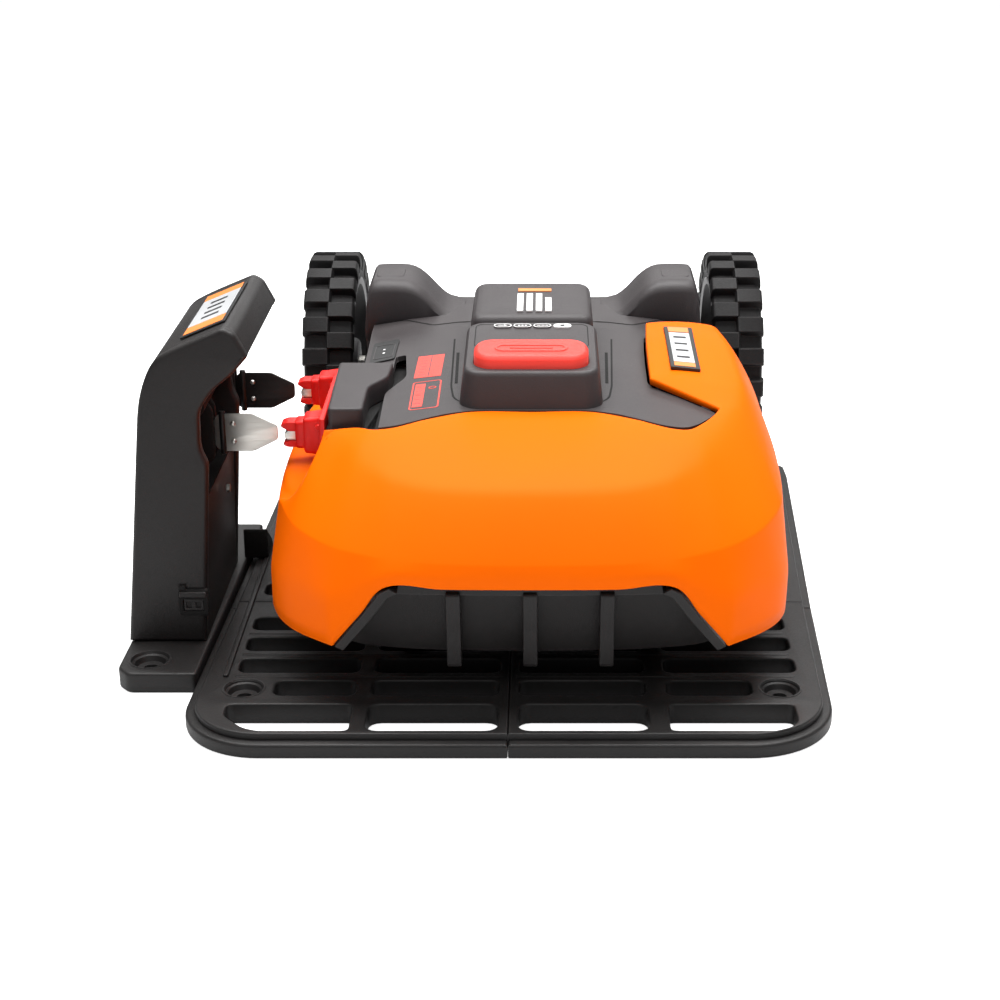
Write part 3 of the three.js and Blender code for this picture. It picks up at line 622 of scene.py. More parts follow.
# two-hole connector socket on the front face
plate("socket_frame", "y", rounded(-261, 39, -239, 60, 2.2, 4), -384.6, -379.6, DOCK_DARK,
      holes=[rounded(-257.5, 42.5, -242.5, 52, 1.0, 3)], bevel=0.6,
      replaces=("connector_socket",))
plate("socket_block", "y", rounded(-257.2, 42.8, -242.8, 51.8, 0.8, 3), -383.6, -380.5, TOWER,
      holes=[rounded(x, 44.6, x + 4.2, 49.6, 0.5, 2) for x in (-255.6, -248.6)], bevel=0.3)
plate("socket_latch", "y", rounded(-260, 54.0, -240, 58.6, 1.2, 3), -386.2, -382.2, TOWER,
      bevel=0.9)
plate("socket_tab", "y", rounded(-260.5, 58.2, -255, 63, 1.0, 3), -384.6, -381.4, DOCK_DARK,
      bevel=0.6)
TOWER_SCREW = [(0.2, -2.0), (2.4, -2.2), (3.2, -1.2), (3.2, 1), (0.2, 1)]
from_data("tower_screw", *lathe(TOWER_SCREW, 20, "x", (-233.5, -300, 108)), DOCK_STEEL)


def roof(u, y, lift):
    """a point over the tower roof; u is 0 at its outer edge and 1 at its inner edge"""
    return (-252 + 40.5 * u - 0.42 * lift, y, 245.0 + 16.8 * u + 0.9 * lift)


# roof badge: a framed strip with two end blocks and plain bars
badge("tower_badge", DOCK, roof, [
    ("frame", "ink", 0.05, 0.86, -363, -252, -0.6, 1.2, 0.4),
    ("silver", "badge", 0.10, 0.81, -341, -271, 0.4, 0.7, 0.4),
    ("end_a", "badge_orange", 0.10, 0.81, -360, -342, 0.4, 0.7, 0.4),
    ("end_b", "badge_orange", 0.10, 0.81, -270, -255, 0.4, 0.7, 0.4),
] + [("bar_%d" % i, "ink", 0.30, 0.62, y - 2.2, y + 2.2, 1.1, 0.25, 0.05)
     for i, y in enumerate((-328, -314, -300, -286))])

# contact blades, each with two rivets and an upright pin
BLADE = [(-240, 145), (-240, 167), (-236, 171), (-211, 171), (-192.2, 161.5),
         (-192.2, 150.5), (-211, 141), (-236, 141)]
RIVET = [(0.15, -2.4), (1.2, -2.3), (2.0, -1.5), (2.2, -0.8), (2.2, 0.8), (2.0, 1.5),
         (1.2, 2.3), (0.15, 2.4)]
BLADE_PIN = [(0.2, 139), (2.0, 139), (2.4, 139.6), (2.4, 172.4), (2.0, 173), (0.2, 173)]
for tag, y in CONTACT_Y.items():
    body = "dock_contact_" + tag
    bright, dark = ("steel", body, "steel"), ("black_steel", body, "dark_steel")
    plate("contact_plate_" + tag, "y", round_poly(BLADE, 2.2, 4), y - 0.8, y + 0.8,
          bright if tag == "front" else dark, bevel=0.35, res=2,
          replaces=("contact_blade_" + tag,))
    for j, z in enumerate((149, 163)):
        from_data("contact_rivet_%s_%d" % (tag, j), *lathe(RIVET, 18, "y", (-226, y, z)), bright)
    from_data("contact_pin_" + tag, *lathe(BLADE_PIN, 20, "z", (-234, y, 0)), dark)

# ------------------------------------------------------------------ mower shell
# Each column is a cut down the skin: top edge, three creases, bottom edge.
# The columns run from the middle of the front, back along the right side.
RIGHT = [
    [(0, -352, 188), (0, -455, 165), (0, -489, 124), (0, -491, 115), (0, -490, 107)],
    [(43, -352, 188), (62, -451, 165.5), (60, -487, 124.3), (60, -490, 115), (60, -489, 107)],
    [(75, -363, 186), (94, -438, 167), (95, -480, 125), (98, -485, 116), (98, -485, 107)],
    [(98, -374, 183.5), (112, -422, 168.5), (118, -471, 125.5), (121, -479, 102), (117, -483, 85)],
    [(113, -374, 182), (125, -406, 170), (136, -460, 126), (142, -472, 94), (137, -481, 61)],
    [(124, -360, 181.5), (138, -378, 172), (156, -440, 127), (165, -446, 92), (163, -457, 60)],
    [(134, -341, 181.5), (148, -348, 175), (170, -418, 128.5), (180, -424, 88), (178, -434, 59)],
    [(140, -326, 182), (156, -318, 178), (182, -384, 131), (187, -398, 85), (185, -407, 58.5)],
    [(90.5, -284, 192), (161, -275, 184), (186, -312, 138), (188.5, -312, 90), (187.5, -312, 61)],
    [(91, -225, 195.5), (160, -222, 190), (184, -225, 144), (187.5, -225, 95), (186.5, -225, 66)],
    [(92, -188, 197), (157, -185, 193), (181, -175, 150), (184.5, -168, 103), (183.5, -164, 76)],
    [(94, -147, 196), (152, -147, 193.5), (172, -136, 154), (180, -124, 110), (180, -121, 84)],
]
# The left side mirrors the right as far as column 7, apart from these points.
LEFT = [[(-x, y, z) for x, y, z in column] for column in RIGHT]
LEFT[5][0] = (-124.5, -364, 180)
LEFT[6][0] = (-139, -358, 177)
LEFT[6][1] = (-150, -362, 172)
LEFT[7][0] = (-150.5, -357, 176)
LEFT[7][1] = (-161, -389, 135)
LEFT[7][3] = (-189, -397, 85)
LEFT[7][4] = (-187.6, -406, 58.5)
# ledge under the contacts: its inner line, its rim, then down the flank
LEFT[8:12] = [
    [(-151.5, -354.5, 136.5), (-163, -387.5, 134.6), (-183, -380, 130.6), (-189.2, -391, 85.5),
     (-187.8, -399, 58.7)],
    [(-154, -338, 135), (-176.5, -367.6, 134.4), (-185, -357, 130), (-190, -362, 87),
     (-189, -366, 59.5)],
    [(-154.5, -318, 134.6), (-185, -325.6, 134), (-187, -322, 129), (-188.5, -312, 90),
     (-187.5, -312, 61)],
    [(-154.5, -225, 134.6), (-184.5, -225, 134), (-186.6, -225, 129), (-187.5, -225, 95),
     (-186.5, -225, 66)],
    [(-154, -186, 134.6), (-182.5, -180, 134), (-184.4, -178, 129), (-184.5, -168, 103),
     (-183.5, -164, 76)],
    [(-152, -147, 134.6), (-174, -140, 134), (-177.5, -136, 129), (-180, -124, 110),
     (-180, -121, 84)],
]
shell_columns = LEFT[:0:-1] + RIGHT
FRONT_COLUMN = len(LEFT) - 1
STEPS = 9               # cuts between two columns
# The rows are the lip under the top edge, then the five points of each column.
# Offsets, in columns from the front one, at which each row turns sharply:
SHARP = [(-8, -7, -4, 4, 7, 8), (-8, -7, 7, 8), (-8, -7, -6), (), (), (-4, 4)]
CREASE_RADIUS = [0, 1.8, 6.0, 1.6, 6.0, 0]      # at each row
CROWN = [0, 2.6, 2.0, 0.2, 0.3]                 # outward swell of each span between rows
SPAN_STEPS = [1, 6, 6, 2, 3]

lip = []
for i, column in enumerate(shell_columns):
    x, y, z = column[0]
    lip.append((x, y, 186.6 if i - FRONT_COLUMN >= 8 else z - 4.5))
shell_rows = [lip] + [[column[r] for column in shell_columns] for r in range(5)]


def smooth_path(points, sharp):
    """Hermite curve through the points, with a kink at each index in sharp"""
    knots = [Vector(p) for p in points]
    last = len(knots) - 1
    tangents = [(knots[min(i + 1, last)] - knots[max(i - 1, 0)]).normalized()
                for i in range(last + 1)]
    out = []
    for i in range(last):
        chord = knots[i + 1] - knots[i]
        length = chord.length
        leave = chord.normalized() if i in sharp else tangents[i]
        arrive = chord.normalized() if i + 1 in sharp else tangents[i + 1]
        for k in range(STEPS):
            t = k / STEPS
            out.append(knots[i] * (2 * t ** 3 - 3 * t * t + 1)
                       + leave * (length * (t ** 3 - 2 * t * t + t))
                       + knots[i + 1] * (-2 * t ** 3 + 3 * t * t)
                       + arrive * (length * (t ** 3 - t * t)))
    out.append(knots[-1])
    return out


grid = [smooth_path(row, {FRONT_COLUMN + offset for offset in offsets})
        for row, offsets in zip(shell_rows, SHARP)]
cut_count = len(grid[0])


def shell_section(q):
    """points down one cut: crowned spans joined by rounded creases"""
    knots = [row[q] for row in grid]
    along = (grid[3][min(cut_count - 1, q + 1)] - grid[3][max(0, q - 1)]).normalized()
    on_ledge = q <= (FRONT_COLUMN - 7) * STEPS
    spans = []
    for r in range(5):
        top, bottom = knots[r], knots[r + 1]
        length = (bottom - top).length
        normal = (bottom - top).cross(along).normalized()
        start = min(CREASE_RADIUS[r], length * 0.45) / length
        end = 1 - min(CREASE_RADIUS[r + 1], length * 0.45) / length
        swell = 0.0 if on_ledge else CROWN[r] * min(1, length / 60)
        spans.append((top, bottom, normal, swell, start, end))

    def on_span(r, t):
        top, bottom, normal, swell = spans[r][:4]
        return top.lerp(bottom, t) + normal * (swell * 4 * t * (1 - t))

    section = []
    for r, steps in enumerate(SPAN_STEPS):
        start, end = spans[r][4:]
        section += [on_span(r, start + (end - start) * k / steps) for k in range(steps + 1)]
        if r < 4:
            before, after = section[-1], on_span(r + 1, spans[r + 1][4])
            section += [quadratic(before, knots[r + 1], after, k / 4) for k in (1, 2, 3)]
    return section


sections = [shell_section(q) for q in range(cut_count)]
n = len(sections[0])
verts = [tuple(p) for section in sections for p in section]
# wound so that the faces look outwards
faces = [(q * n + k, q * n + k + 1, (q + 1) * n + k + 1, (q + 1) * n + k)
         for q in range(cut_count - 1) for k in range(n - 1)]
shell_mesh = raw_mesh("shell_skin", verts, faces)
shell_mesh.update()
shell = finish_mesh("shell_skin", shell_mesh, ("orange", MOWER, "orange_plastic"), smooth=42,
                    replaces=("orange_shell",))
thicken(shell, 2.6)


# ------------------------------------------------------------------ surfaces on the mower
# Each surface function gives z over (x, y).
LID_TOP = 226.5


def level(x, y):
    return 0.0


def deck_z(x, y):
    side = abs(x)
    z = 188.0
    if side > 60:
        z -= (side - 60) * 0.118
    if side > 112:
        z -= (side - 112) * 0.05
    return z


def housing_z(x, y):
    return 214.2 + (y + 340) * 0.07


def button_z(x, y):
    return 224.0 + (y + 334) * 0.07


def lid_crown(x, y):
    return -0.0009 * x * x


def lid_z(x, y):
    return LID_TOP + lid_crown(x, y)


def raised(outline, height, surface=level):
    """a flat outline lifted to a height over a surface"""
    return [(x, y, surface(x, y) + height) for x, y in outline]


def crowned(name, outline, step, lift, thick, look, bevel, **extra):
    """a skin that follows the deck, cut on a grid of the given step"""
    mesh, work = filled_curve(name + "_c", [outline])
    bmesh.ops.recalc_face_normals(work, faces=work.faces)
    xs = [v.co.x for v in work.verts]
    ys = [v.co.y for v in work.verts]
    for axis, low, high in ((0, min(xs), max(xs)), (1, min(ys), max(ys))):
        k = math.ceil(low / (step * MILLI))
        while k * step * MILLI < high:
            position = [0, 0, 0]
            position[axis] = k * step * MILLI
            direction = [0, 0, 0]
            direction[axis] = 1
            bmesh.ops.bisect_plane(work, geom=work.verts[:] + work.edges[:] + work.faces[:],
                                   plane_co=position, plane_no=direction, dist=1e-7)
            k += 1
    for face in work.faces:
        if face.normal.z < 0:
            face.normal_flip()
    for v in work.verts:
        v.co.z = (deck_z(v.co.x / MILLI, v.co.y / MILLI) + lift) * MILLI
    work.to_mesh(mesh)
    work.free()
    skin = finish_mesh(name, mesh, look, smooth=30, **extra)
    thicken(skin, thick)
    add_bevel(skin, bevel * MILLI, segments=2, angle=50)


def ribbon(name, points, width, look, lift, closed=False, surface=deck_z):
    """a thin inlay along a path, standing lift above a surface and sunk 1 mm into it"""
    path = [Vector((p[0], p[1], 0)) for p in points]
    verts, faces = [], []
    k = len(path)
    for i, point in enumerate(path):
        before = path[i - 1] if (i > 0 or closed) else point
        after = path[(i + 1) % k] if (i < k - 1 or closed) else point
        along = (after - before).normalized()
        across = Vector((-along.y, along.x, 0)) * width / 2
        for height in (lift, -1.0):
            for side in (point - across, point + across):
                verts.append((side.x, side.y, surface(side.x, side.y) + height))
    for i in range(k if closed else k - 1):
        a, b = i * 4, ((i + 1) % k) * 4
        faces += [(a, b, b + 1, a + 1), (a + 2, a + 3, b + 3, b + 2),
                  (a, a + 2, b + 2, b), (a + 1, b + 1, b + 3, a + 3)]
    if not closed:
        end = (k - 1) * 4
        faces += [(0, 1, 3, 2), (end, end + 2, end + 3, end + 1)]
    from_data(name, verts, faces, look)


def on_surface(name, outline, look, low, high, surface, bevel=0.25, holes=(), **extra):
    """a prism from low to high above a sloping surface"""
    mesh = prism_mesh(name, outline, holes, high - low, bevel, res=2)
    for v in mesh.vertices:
        v.co.z += (surface(v.co.x / MILLI, v.co.y / MILLI) + low) * MILLI
    mesh.update()
    finish_mesh(name, mesh, look, **extra)


# ------------------------------------------------------------------ deck and rear cowl
DECK_OUTLINE = [    # x, y, corner radius
    (-42, -350, 6), (42, -350, 6), (74, -361, 6), (97, -371.5, 6), (112, -371.5, 6),
    (122, -358.5, 6), (132, -339, 6), (137.5, -326, 3), (89, -281, 10), (89.5, -225, 10),
    (90.5, -188, 10), (92.5, -144.6, 10), (141, -144.6, 2), (141, -112, 2), (140, -88.4, 2),
    (-137, -88.4, 2), (-137, -112, 4), (-134, -234, 1), (-110, -234, 3), (-110, -198, 3),
    (-102, -195, 4), (-97.5, -255, 8), (-111.5, -291, 8), (-110, -367, 1), (-110, -371.5, 1),
    (-97, -371.5, 6), (-74, -361, 6)]
crowned("deck_skin", round_poly([p[:2] for p in DECK_OUTLINE], [p[2] for p in DECK_OUTLINE], 5),
        step=9.0, lift=0, thick=4.0, look=DECK, bevel=0.9, replaces=("top_deck",))

# cowl cross-section (x, z), from the left side over the hood to the low middle
COWL_BOTTOM = 150.5
COWL_HALF = [
    (-143.6, 150.5), (-144.6, 162), (-145, 181), (-143.9, 195), (-142.4, 204.5), (-140.6, 210.8),
    (-137.8, 214), (-130, 214.8), (-118, 214.8), (-110, 214.2), (-105, 212.8), (-100, 210.1),
    (-96, 206.9), (-92, 203.2), (-84, 194.4), (-78.5, 189.3), (-74, 186.5), (-66, 184.3),
    (-50, 184), (-25, 184)]
COWL_STATIONS = [   # y, scale of the height above the bottom
    (-87.4, 0.55), (-87.0, 0.86), (-84.8, 0.93), (-80, 0.985), (-72, 1.0), (-45, 1.0),
    (-20, 1.0), (-14, 0.945), (-8, 0.89), (0, 0.82), (10, 0.74), (20, 0.66), (30, 0.575),
    (40, 0.49), (50, 0.38), (56, 0.30), (62, 0.16), (66, 0.05)]


def rear_cowl():
    profile = COWL_HALF + [(0, 184)] + [(-x, z) for x, z in reversed(COWL_HALF)]
    low = COWL_BOTTOM + 0.1     # nothing but the two bottom points goes below this
    n = len(profile)
    verts = [(x, y, max(COWL_BOTTOM + (z - COWL_BOTTOM) * scale, low) if z > low else z)
             for y, scale in COWL_STATIONS for x, z in profile]
    faces = []
    for r in range(len(COWL_STATIONS) - 1):
        for a in range(r * n, r * n + n - 1):
            faces.append((a, a + 1, a + n + 1, a + n))
    # wall that closes the front end
    foot = len(verts)
    verts += [(x, y, COWL_BOTTOM) for x, y, z in verts[:n]]
    faces += [(i + 1, i, foot + i, foot + i + 1) for i in range(n - 1)]
    cowl = from_data("rear_cowl_skin", verts, faces, DECK, smooth=38, replaces=("rear_cowl",))
    thicken(cowl, 2.6)


rear_cowl()
plate("cowl_middle_panel", "z", rounded(-60, -74, 60, -30, 6, 4), 183.4, 185.5, DECK, bevel=0.9)
APRON = [(-84, -114.6), (84, -114.6), (109, -88.8), (74, -88.8), (64, -60), (-64, -60),
         (-74, -88.8), (-109, -88.8)]
crowned("cowl_apron", round_poly(APRON, 2, 3), step=8.0, lift=0.35, thick=2.6, look=DECK,
        bevel=0.5)
for sign, tag in SIDES:
    pad = rounded(sign * 124 - 12, -66, sign * 124 + 12, -36, 5, 4)
    plate("hood_pad_" + tag, "z", pad, 213.2, 214.9, DECK, bevel=0.8)

# grooves in the deck, as thin dark inlays
GROOVE_PATH = [(-64, -165), (-61, -292), (-58, -322), (-44, -342), (-28, -347), (28, -347),
               (44, -342), (58, -322), (61, -292), (65, -165)]
ribbon("deck_groove",
       dense(round_poly(GROOVE_PATH, [0, 6, 8, 8, 6, 6, 8, 8, 6, 0], 4), closed=False),
       width=1.5, look=GROOVE, lift=0.12)
for sign, tag in SIDES:
    ribbon("deck_slot_" + tag,
           dense([(sign * 59.5, -205), (sign * 57.5, -285)], closed=False),
           width=2.4, look=GROOVE, lift=0.12)
    seam = [(sign * 50, -115.6), (sign * 84.4, -115.6), (sign * 110, -89.6), (sign * 136, -89.6)]
    ribbon("deck_seam_" + tag, dense(round_poly(seam, [0, 5, 5, 0], 4), closed=False),
           width=1.5, look=GROOVE, lift=0.12)

# ------------------------------------------------------------------ stop housing and keys
# tapered block with a sunk well for the button
WELL = (43.2, -334.8, -294.2)       # half width, front, rear
WELL_RADIUS = 15.2
WELL_EASE = 0.5
HOUSING = [     # half width, front, rear, corner radius, height, surface it is measured from
    (53.4, -348.2, -230.6, 17, 186.0, level),
    (53, -347.8, -231, 17, 188.6, level),
    (50.2, -341.6, -233, 14, -3.4, housing_z),
    (49.4, -340.8, -233.6, 13.4, -1.4, housing_z),
    (48, -339.4, -235, 12.4, -0.25, housing_z),
    (46.4, -337.8, -236.6, 11.6, 0.0, housing_z),
    (*WELL, WELL_RADIUS, 0.0, housing_z),
]
rings = [raised(centred(half, y0, y1, radius, 7), height, surface)
         for half, y0, y1, radius, height, surface in HOUSING]
well_wall = centred(*WELL, WELL_RADIUS - WELL_EASE, 7, inset=WELL_EASE)
rings += [raised(well_wall, -0.7, housing_z), raised(well_wall, 197.4)]
from_data("stop_housing_skin", *ring_loft(rings), DECK, smooth=30,
          replaces=("stop_housing", "stop_switch"))
on_surface("panel_inset", rounded(-43.6, -291, 43.6, -238.6, 7, 5), GROOVE, -0.4, 0.12,
           housing_z, holes=[rounded(-42.8, -290.2, 42.8, -239.4, 6.2, 5)], bevel=0.05)

KEY_X = (-22.5, -7.2, 8.2, 23.8)
KEY_Y = -244


def pill(x, half_x, half_y, radius, n):
    return rounded(x - half_x, KEY_Y - half_y, x + half_x, KEY_Y + half_y, radius, n)


def key_marks(i, x):
    """plain marks: bar and triangle, three dots, three bars, square"""
    if i == 0:
        return [pill(x - 1.5, 2.1, 0.5, 0.4, 2),
                [(x + 0.8, KEY_Y - 1.8), (x + 3.6, KEY_Y), (x + 0.8, KEY_Y + 1.8)]]
    if i == 1:
        return [circle(x + offset, KEY_Y, 1.0, 12) for offset in (-2.6, 0, 2.6)]
    if i == 2:
        return [pill(x + offset, half, 0.6, 0.3, 2)
                for offset, half in ((-2.7, 1.3), (0.5, 1.3), (3.4, 1.0))]
    return [pill(x, 1.7, 1.7, 0.5, 2)]


for i, x in enumerate(KEY_X):
    key = "key_%d" % (i + 1)
    white = ("white", key, "base_plastic")
    is_last = i == 3
    on_surface("key_cap_%d" % (i + 1), pill(x, 7, 4, 3.6, 6),
               white if is_last else ("deck", key, "base_plastic"), -1.0, 0.95, housing_z,
               replaces=(key,))
    on_surface("key_ring_%d" % (i + 1), pill(x, 6.9, 3.9, 3.6, 6), white, 0.86, 1.06,
               housing_z, bevel=0.05, holes=[pill(x, 6.1, 3.1, 2.9, 6)])
    for j, mark in enumerate(key_marks(i, x)):
        on_surface("key_mark_%d_%d" % (i + 1, j), mark,
                   ("ink", key, "base_plastic") if is_last else white, 0.86, 1.10, housing_z,
                   bevel=0.04)

# stop button: rounded block with a bevelled rim, a shallow dish and a plain outline
BUTTON = (42.5, -334, -295)         # half width, front, rear
BUTTON_RED = ("red_top", "stop_button", "red_plastic")
BUTTON_RINGS = [    # inset, height, surface
    (0.0, 203.0, level), (0.0, -3.4, button_z), (0.5, -2.4, button_z), (2.2, -0.6, button_z),
    (3.0, -0.15, button_z), (4.0, 0.0, button_z), (6.2, -0.1, button_z), (7.4, -0.55, button_z)]
rings = [raised(centred(*BUTTON, max(14.6 - inset, 4), 8, inset), height, surface)
         for inset, height, surface in BUTTON_RINGS]
from_data("stop_button_cap", *ring_loft(rings), BUTTON_RED, smooth=40, replaces=("stop_button",))
on_surface("stop_button_outline", rounded(-27, -321.5, 27, -307.5, 6.9, 8), BUTTON_RED,
           -1.1, 0.05, button_z, bevel=0.3, holes=[rounded(-24.6, -319.1, 24.6, -309.9, 4.5, 8)])
on_surface("stop_button_bar", rounded(-16, -315.6, 16, -313.4, 1.0, 5), BUTTON_RED,
           -1.1, 0.0, button_z, bevel=0.3)

# ------------------------------------------------------------------ battery cover
LID = (48.5, -229.5, -121)          # half width, front, rear
LID_RINGS = [(0, 188.6), (0, 206), (0.3, 219.2), (1.0, 221.8), (2.6, 224.2), (4.6, 225.4),
             (9, 226.1), (20, LID_TOP)]     # inset, z on the centre line
rings = [raised(centred(*LID, max(9 - inset * 0.5, 2), 6, inset), height, lid_crown)
         for inset, height in LID_RINGS]
from_data("battery_cover_cap", *ring_loft(rings), ("deck", "battery_lid", "grey_plastic"),
          replaces=("battery_cover",))
LID_LABEL = [   # x, front, rear, width, material
    (-9.5, -218, -166, 5, "white"), (-2, -218, -166, 5, "white"), (5.5, -218, -166, 5, "white"),
    (13, -218, -178, 5, "white"), (2, -158, -150, 27, "badge_orange")]
for i, (x, y0, y1, width, mat) in enumerate(LID_LABEL):
    ribbon("lid_label_%d" % i, dense([(x, y0), (x, y1)], closed=False), width,
           (mat, "battery_lid", "grey_plastic"), lift=0.14, surface=lid_z)

# ------------------------------------------------------------------ contact module, left side
plate("module_side", "z", [(-151, -346), (-114, -346), (-114, -198), (-133, -198), (-151, -215)],
      137, 172, MOWER_DARK, replaces=("contact_module_body",))
plate("module_channel", "z", [(-124, -360), (-106, -364), (-108, -291), (-94, -255),
                              (-99, -192), (-114, -192), (-116, -300)],
      164, 172, MOWER_DARK, bevel=0.6)
MODULE_TOP = [(-148.5, -351.8), (-123, -351.8), (-123.5, -298), (-110.5, -274), (-109, -237),
              (-151.5, -237)]
plate("module_block", "z", round_poly(MODULE_TOP, [4, 4, 7, 7, 3, 3], 5), 171.5, 190, DECK,
      bevel=2.2, res=4, replaces=("contact_module_cover",))
BRACKET = [(-156, -346), (-151.6, -348), (-152.4, -238), (-156, -240)]
plate("module_bracket", "z", round_poly(BRACKET, 1.2, 3), 150, 180, RED)

# red contact housings with forked ends and a metal strip between the tines
HOUSING_SECTIONS = [    # x, half width along y, bottom, top, corner radius
    (-149, 12.5, 138.5, 173, 3.5), (-152, 12.5, 138.5, 173, 3.5),
    (-153, 11.8, 139.5, 172.2, 3.5), (-166, 10.6, 141.5, 170.6, 3.5),
    (-170.4, 10.4, 142, 170.4, 3.5), (-171.6, 9.6, 143, 169.4, 3.5),
    (-171.8, 8.2, 145, 167.4, 3), (-177.2, 8.0, 145.4, 167.2, 3),
    (-178.2, 7.2, 146.2, 166.4, 2.6)]
TINES = [       # (x, z) outline of the upper and the lower tine
    [(-176, 158.8), (-176, 166.2), (-184.5, 166.2), (-189, 164.3), (-189, 162.3), (-183, 158.8)],
    [(-176, 146.2), (-176, 151.2), (-183, 151.2), (-187.5, 150.2), (-187.5, 147.6),
     (-184, 146.2)]]
STRIP = [(-177, 151.4), (-177, 158.8), (-184, 158.8), (-186.8, 157), (-186.8, 153),
         (-184, 151.4)]
CONTACT_BOSS = [(0.2, -13.4), (2.1, -13.4), (2.4, -12.6), (2.4, -11), (0.2, -11)]
for tag, y in CONTACT_Y.items():
    rings = [[(x, y + a, z) for a, z in rounded(-half, z0, half, z1, radius, 5)]
             for x, half, z0, z1, radius in HOUSING_SECTIONS]
    from_data("contact_body_" + tag, *ring_loft(rings), RED, smooth=40,
              replaces=("mower_contact_" + tag,))
    for j, tine in enumerate(TINES):
        plate("contact_tine_%s_%d" % (tag, j), "y", round_poly(tine, 1.2, 3), y - 6.6, y + 6.6,
              RED, bevel=0.8, res=2)
    plate("contact_strip_" + tag, "y", round_poly(STRIP, 1, 3), y - 4.5, y + 4.5,
          ("steel", MOWER, "steel"), bevel=0.4, res=2, replaces=("mower_contact_strip_" + tag,))
    from_data("contact_boss_" + tag, *lathe(CONTACT_BOSS, 18, "y", (-160, y, 164)), RED)

# ------------------------------------------------------------------ indicator pad and labels
PAD = [(-131, -209), (-111, -205), (-110.5, -150.5), (-131.5, -152)]
crowned("indicator_pad_skin", round_poly(PAD, 3, 4), step=6, lift=1.3, thick=1.8,
        look=("ink", MOWER, "base_plastic"), bevel=0.4, replaces=("indicator_pad",))
PAD_LINE = [(-128.5, -201), (-113.2, -198.5), (-112.8, -163), (-128.9, -163)]
ribbon("indicator_outline", dense(round_poly(PAD_LINE, 2.5, 3)), width=0.6,
       look=("deck", MOWER, "base_plastic"), lift=1.55, closed=True)
for j, (x, y) in enumerate(((-121.3, -176), (-120.9, -186))):
    ribbon("indicator_dot_%d" % j, [(x - 0.9, y), (x + 0.9, y)], width=2.4,
           look=("white", MOWER, "base_plastic"), lift=1.56)

# label a: a red block with a divider and short bars
ribbon("label_a", dense([(-81, -262), (-80.6, -205)], closed=False), width=21,
       look=PRINT_RED, lift=0.16)
ribbon("label_a_divider", dense([(-80.5, -261), (-80.1, -206)], closed=False), width=0.8,
       look=DECK, lift=0.20)
for j in range(7):
    y = -255 + j * 7.4
    ribbon("label_a_bar_%d" % j, [(-89, y), (-83, y)], width=1.1, look=DECK, lift=0.20)

# label b: a red outline holding a barred block and a small ring
LABEL_B = [(-90, -339.5), (-69, -339), (-69.6, -273), (-90.6, -273.5)]
ribbon("label_b", dense(round_poly(LABEL_B, 3, 3)), width=1.1, look=PRINT_RED, lift=0.16,
       closed=True)
ribbon("label_b_block", dense([(-84.6, -334), (-84.9, -279)], closed=False), width=7.6,
       look=PRINT_RED, lift=0.17)
for j in range(5):
    y = -326 + j * 10.2
    ribbon("label_b_bar_%d" % j, [(-87.4, y), (-82.4, y)], width=1.2, look=DECK, lift=0.21)
ribbon("label_b_ring", dense(circle(-75.4, -290, 2.6, 14), step=2.0), width=0.8,
       look=PRINT_RED, lift=0.17, closed=True)

# badge on the raised right side: corners front inner, front outer, rear outer, rear inner
TAIL = [(107, -268, 191.6), (130, -268, 189.2), (130, -172, 194.8), (107, -172, 196.0)]


def tail(u, v, lift):
    """u runs outwards, v runs to the rear"""
    front = Vector(TAIL[0]).lerp(Vector(TAIL[1]), u)
    rear = Vector(TAIL[3]).lerp(Vector(TAIL[2]), u)
    point = front.lerp(rear, v)
    return (point.x, point.y, point.z + lift + 2.2)


badge("tail_badge", MOWER, tail, [
    ("frame", "ink", 0, 1, 0, 1, -0.2, 2.6, 0.4),
    ("silver", "badge", 0.14, 0.86, 0.13, 0.84, 2.2, 0.6, 0.4),
    ("end_a", "badge_orange", 0.14, 0.86, 0.86, 0.98, 2.2, 0.6, 0.4),
    ("end_b", "badge_orange", 0.14, 0.86, 0.03, 0.12, 2.2, 0.6, 0.4),
] + [("bar_%d" % j, "ink", 0.28, 0.72, v - 0.02, v + 0.02, 2.8, 0.25, 0.05)
     for j, v in enumerate((0.24, 0.40, 0.56, 0.72))])

# ------------------------------------------------------------------ front skirt
SKIRT_HALF = 134


def skirt_top(side):
    """height of the wall's top edge at a distance from the centre line"""
    if side <= 96:
        return 106.6
    if side <= 116:
        return 106.6 - (side - 96) * 1.12
    return 84.2 - (side - 116) * 1.12


def skirt_section(x):
    side = abs(x)
    front = -478 + (side / SKIRT_HALF) ** 2 * 6 + max(0, side - 118) * 0.3
    top = skirt_top(side)
    bottom = 46.5 + (side / SKIRT_HALF) ** 4 * 5
    ledge = min(top - 1, 97.5) if side < 104 else top - 2.5
    return [(x, front + 8, top), (x, front, top - 0.6), (x, front + 0.3, ledge),
            (x, front + 6, ledge - 2.4), (x, front + 12, (ledge + bottom) / 2),
            (x, front + 17, bottom + 3), (x, front + 19, bottom), (x, front + 26, bottom),
            (x, front + 26, top)]


rings = [skirt_section(-SKIRT_HALF + 2 * SKIRT_HALF * i / 60) for i in range(61)]
from_data("skirt_wall", *ring_loft(rings), SKIRT, smooth=30, replaces=("front_skirt",))
SKIRT_RIB = [(-480.5, 98.5), (-476, 101), (-460, 60), (-456, 41.5), (-459, 39.5), (-470, 39.5),
             (-473, 42), (-475.5, 70)]      # (y, z)
for i, x in enumerate((-53, 0, 53)):
    plate("skirt_rib_%d" % i, "x", round_poly(SKIRT_RIB, 2, 3), x - 5, x + 5, SKIRT)
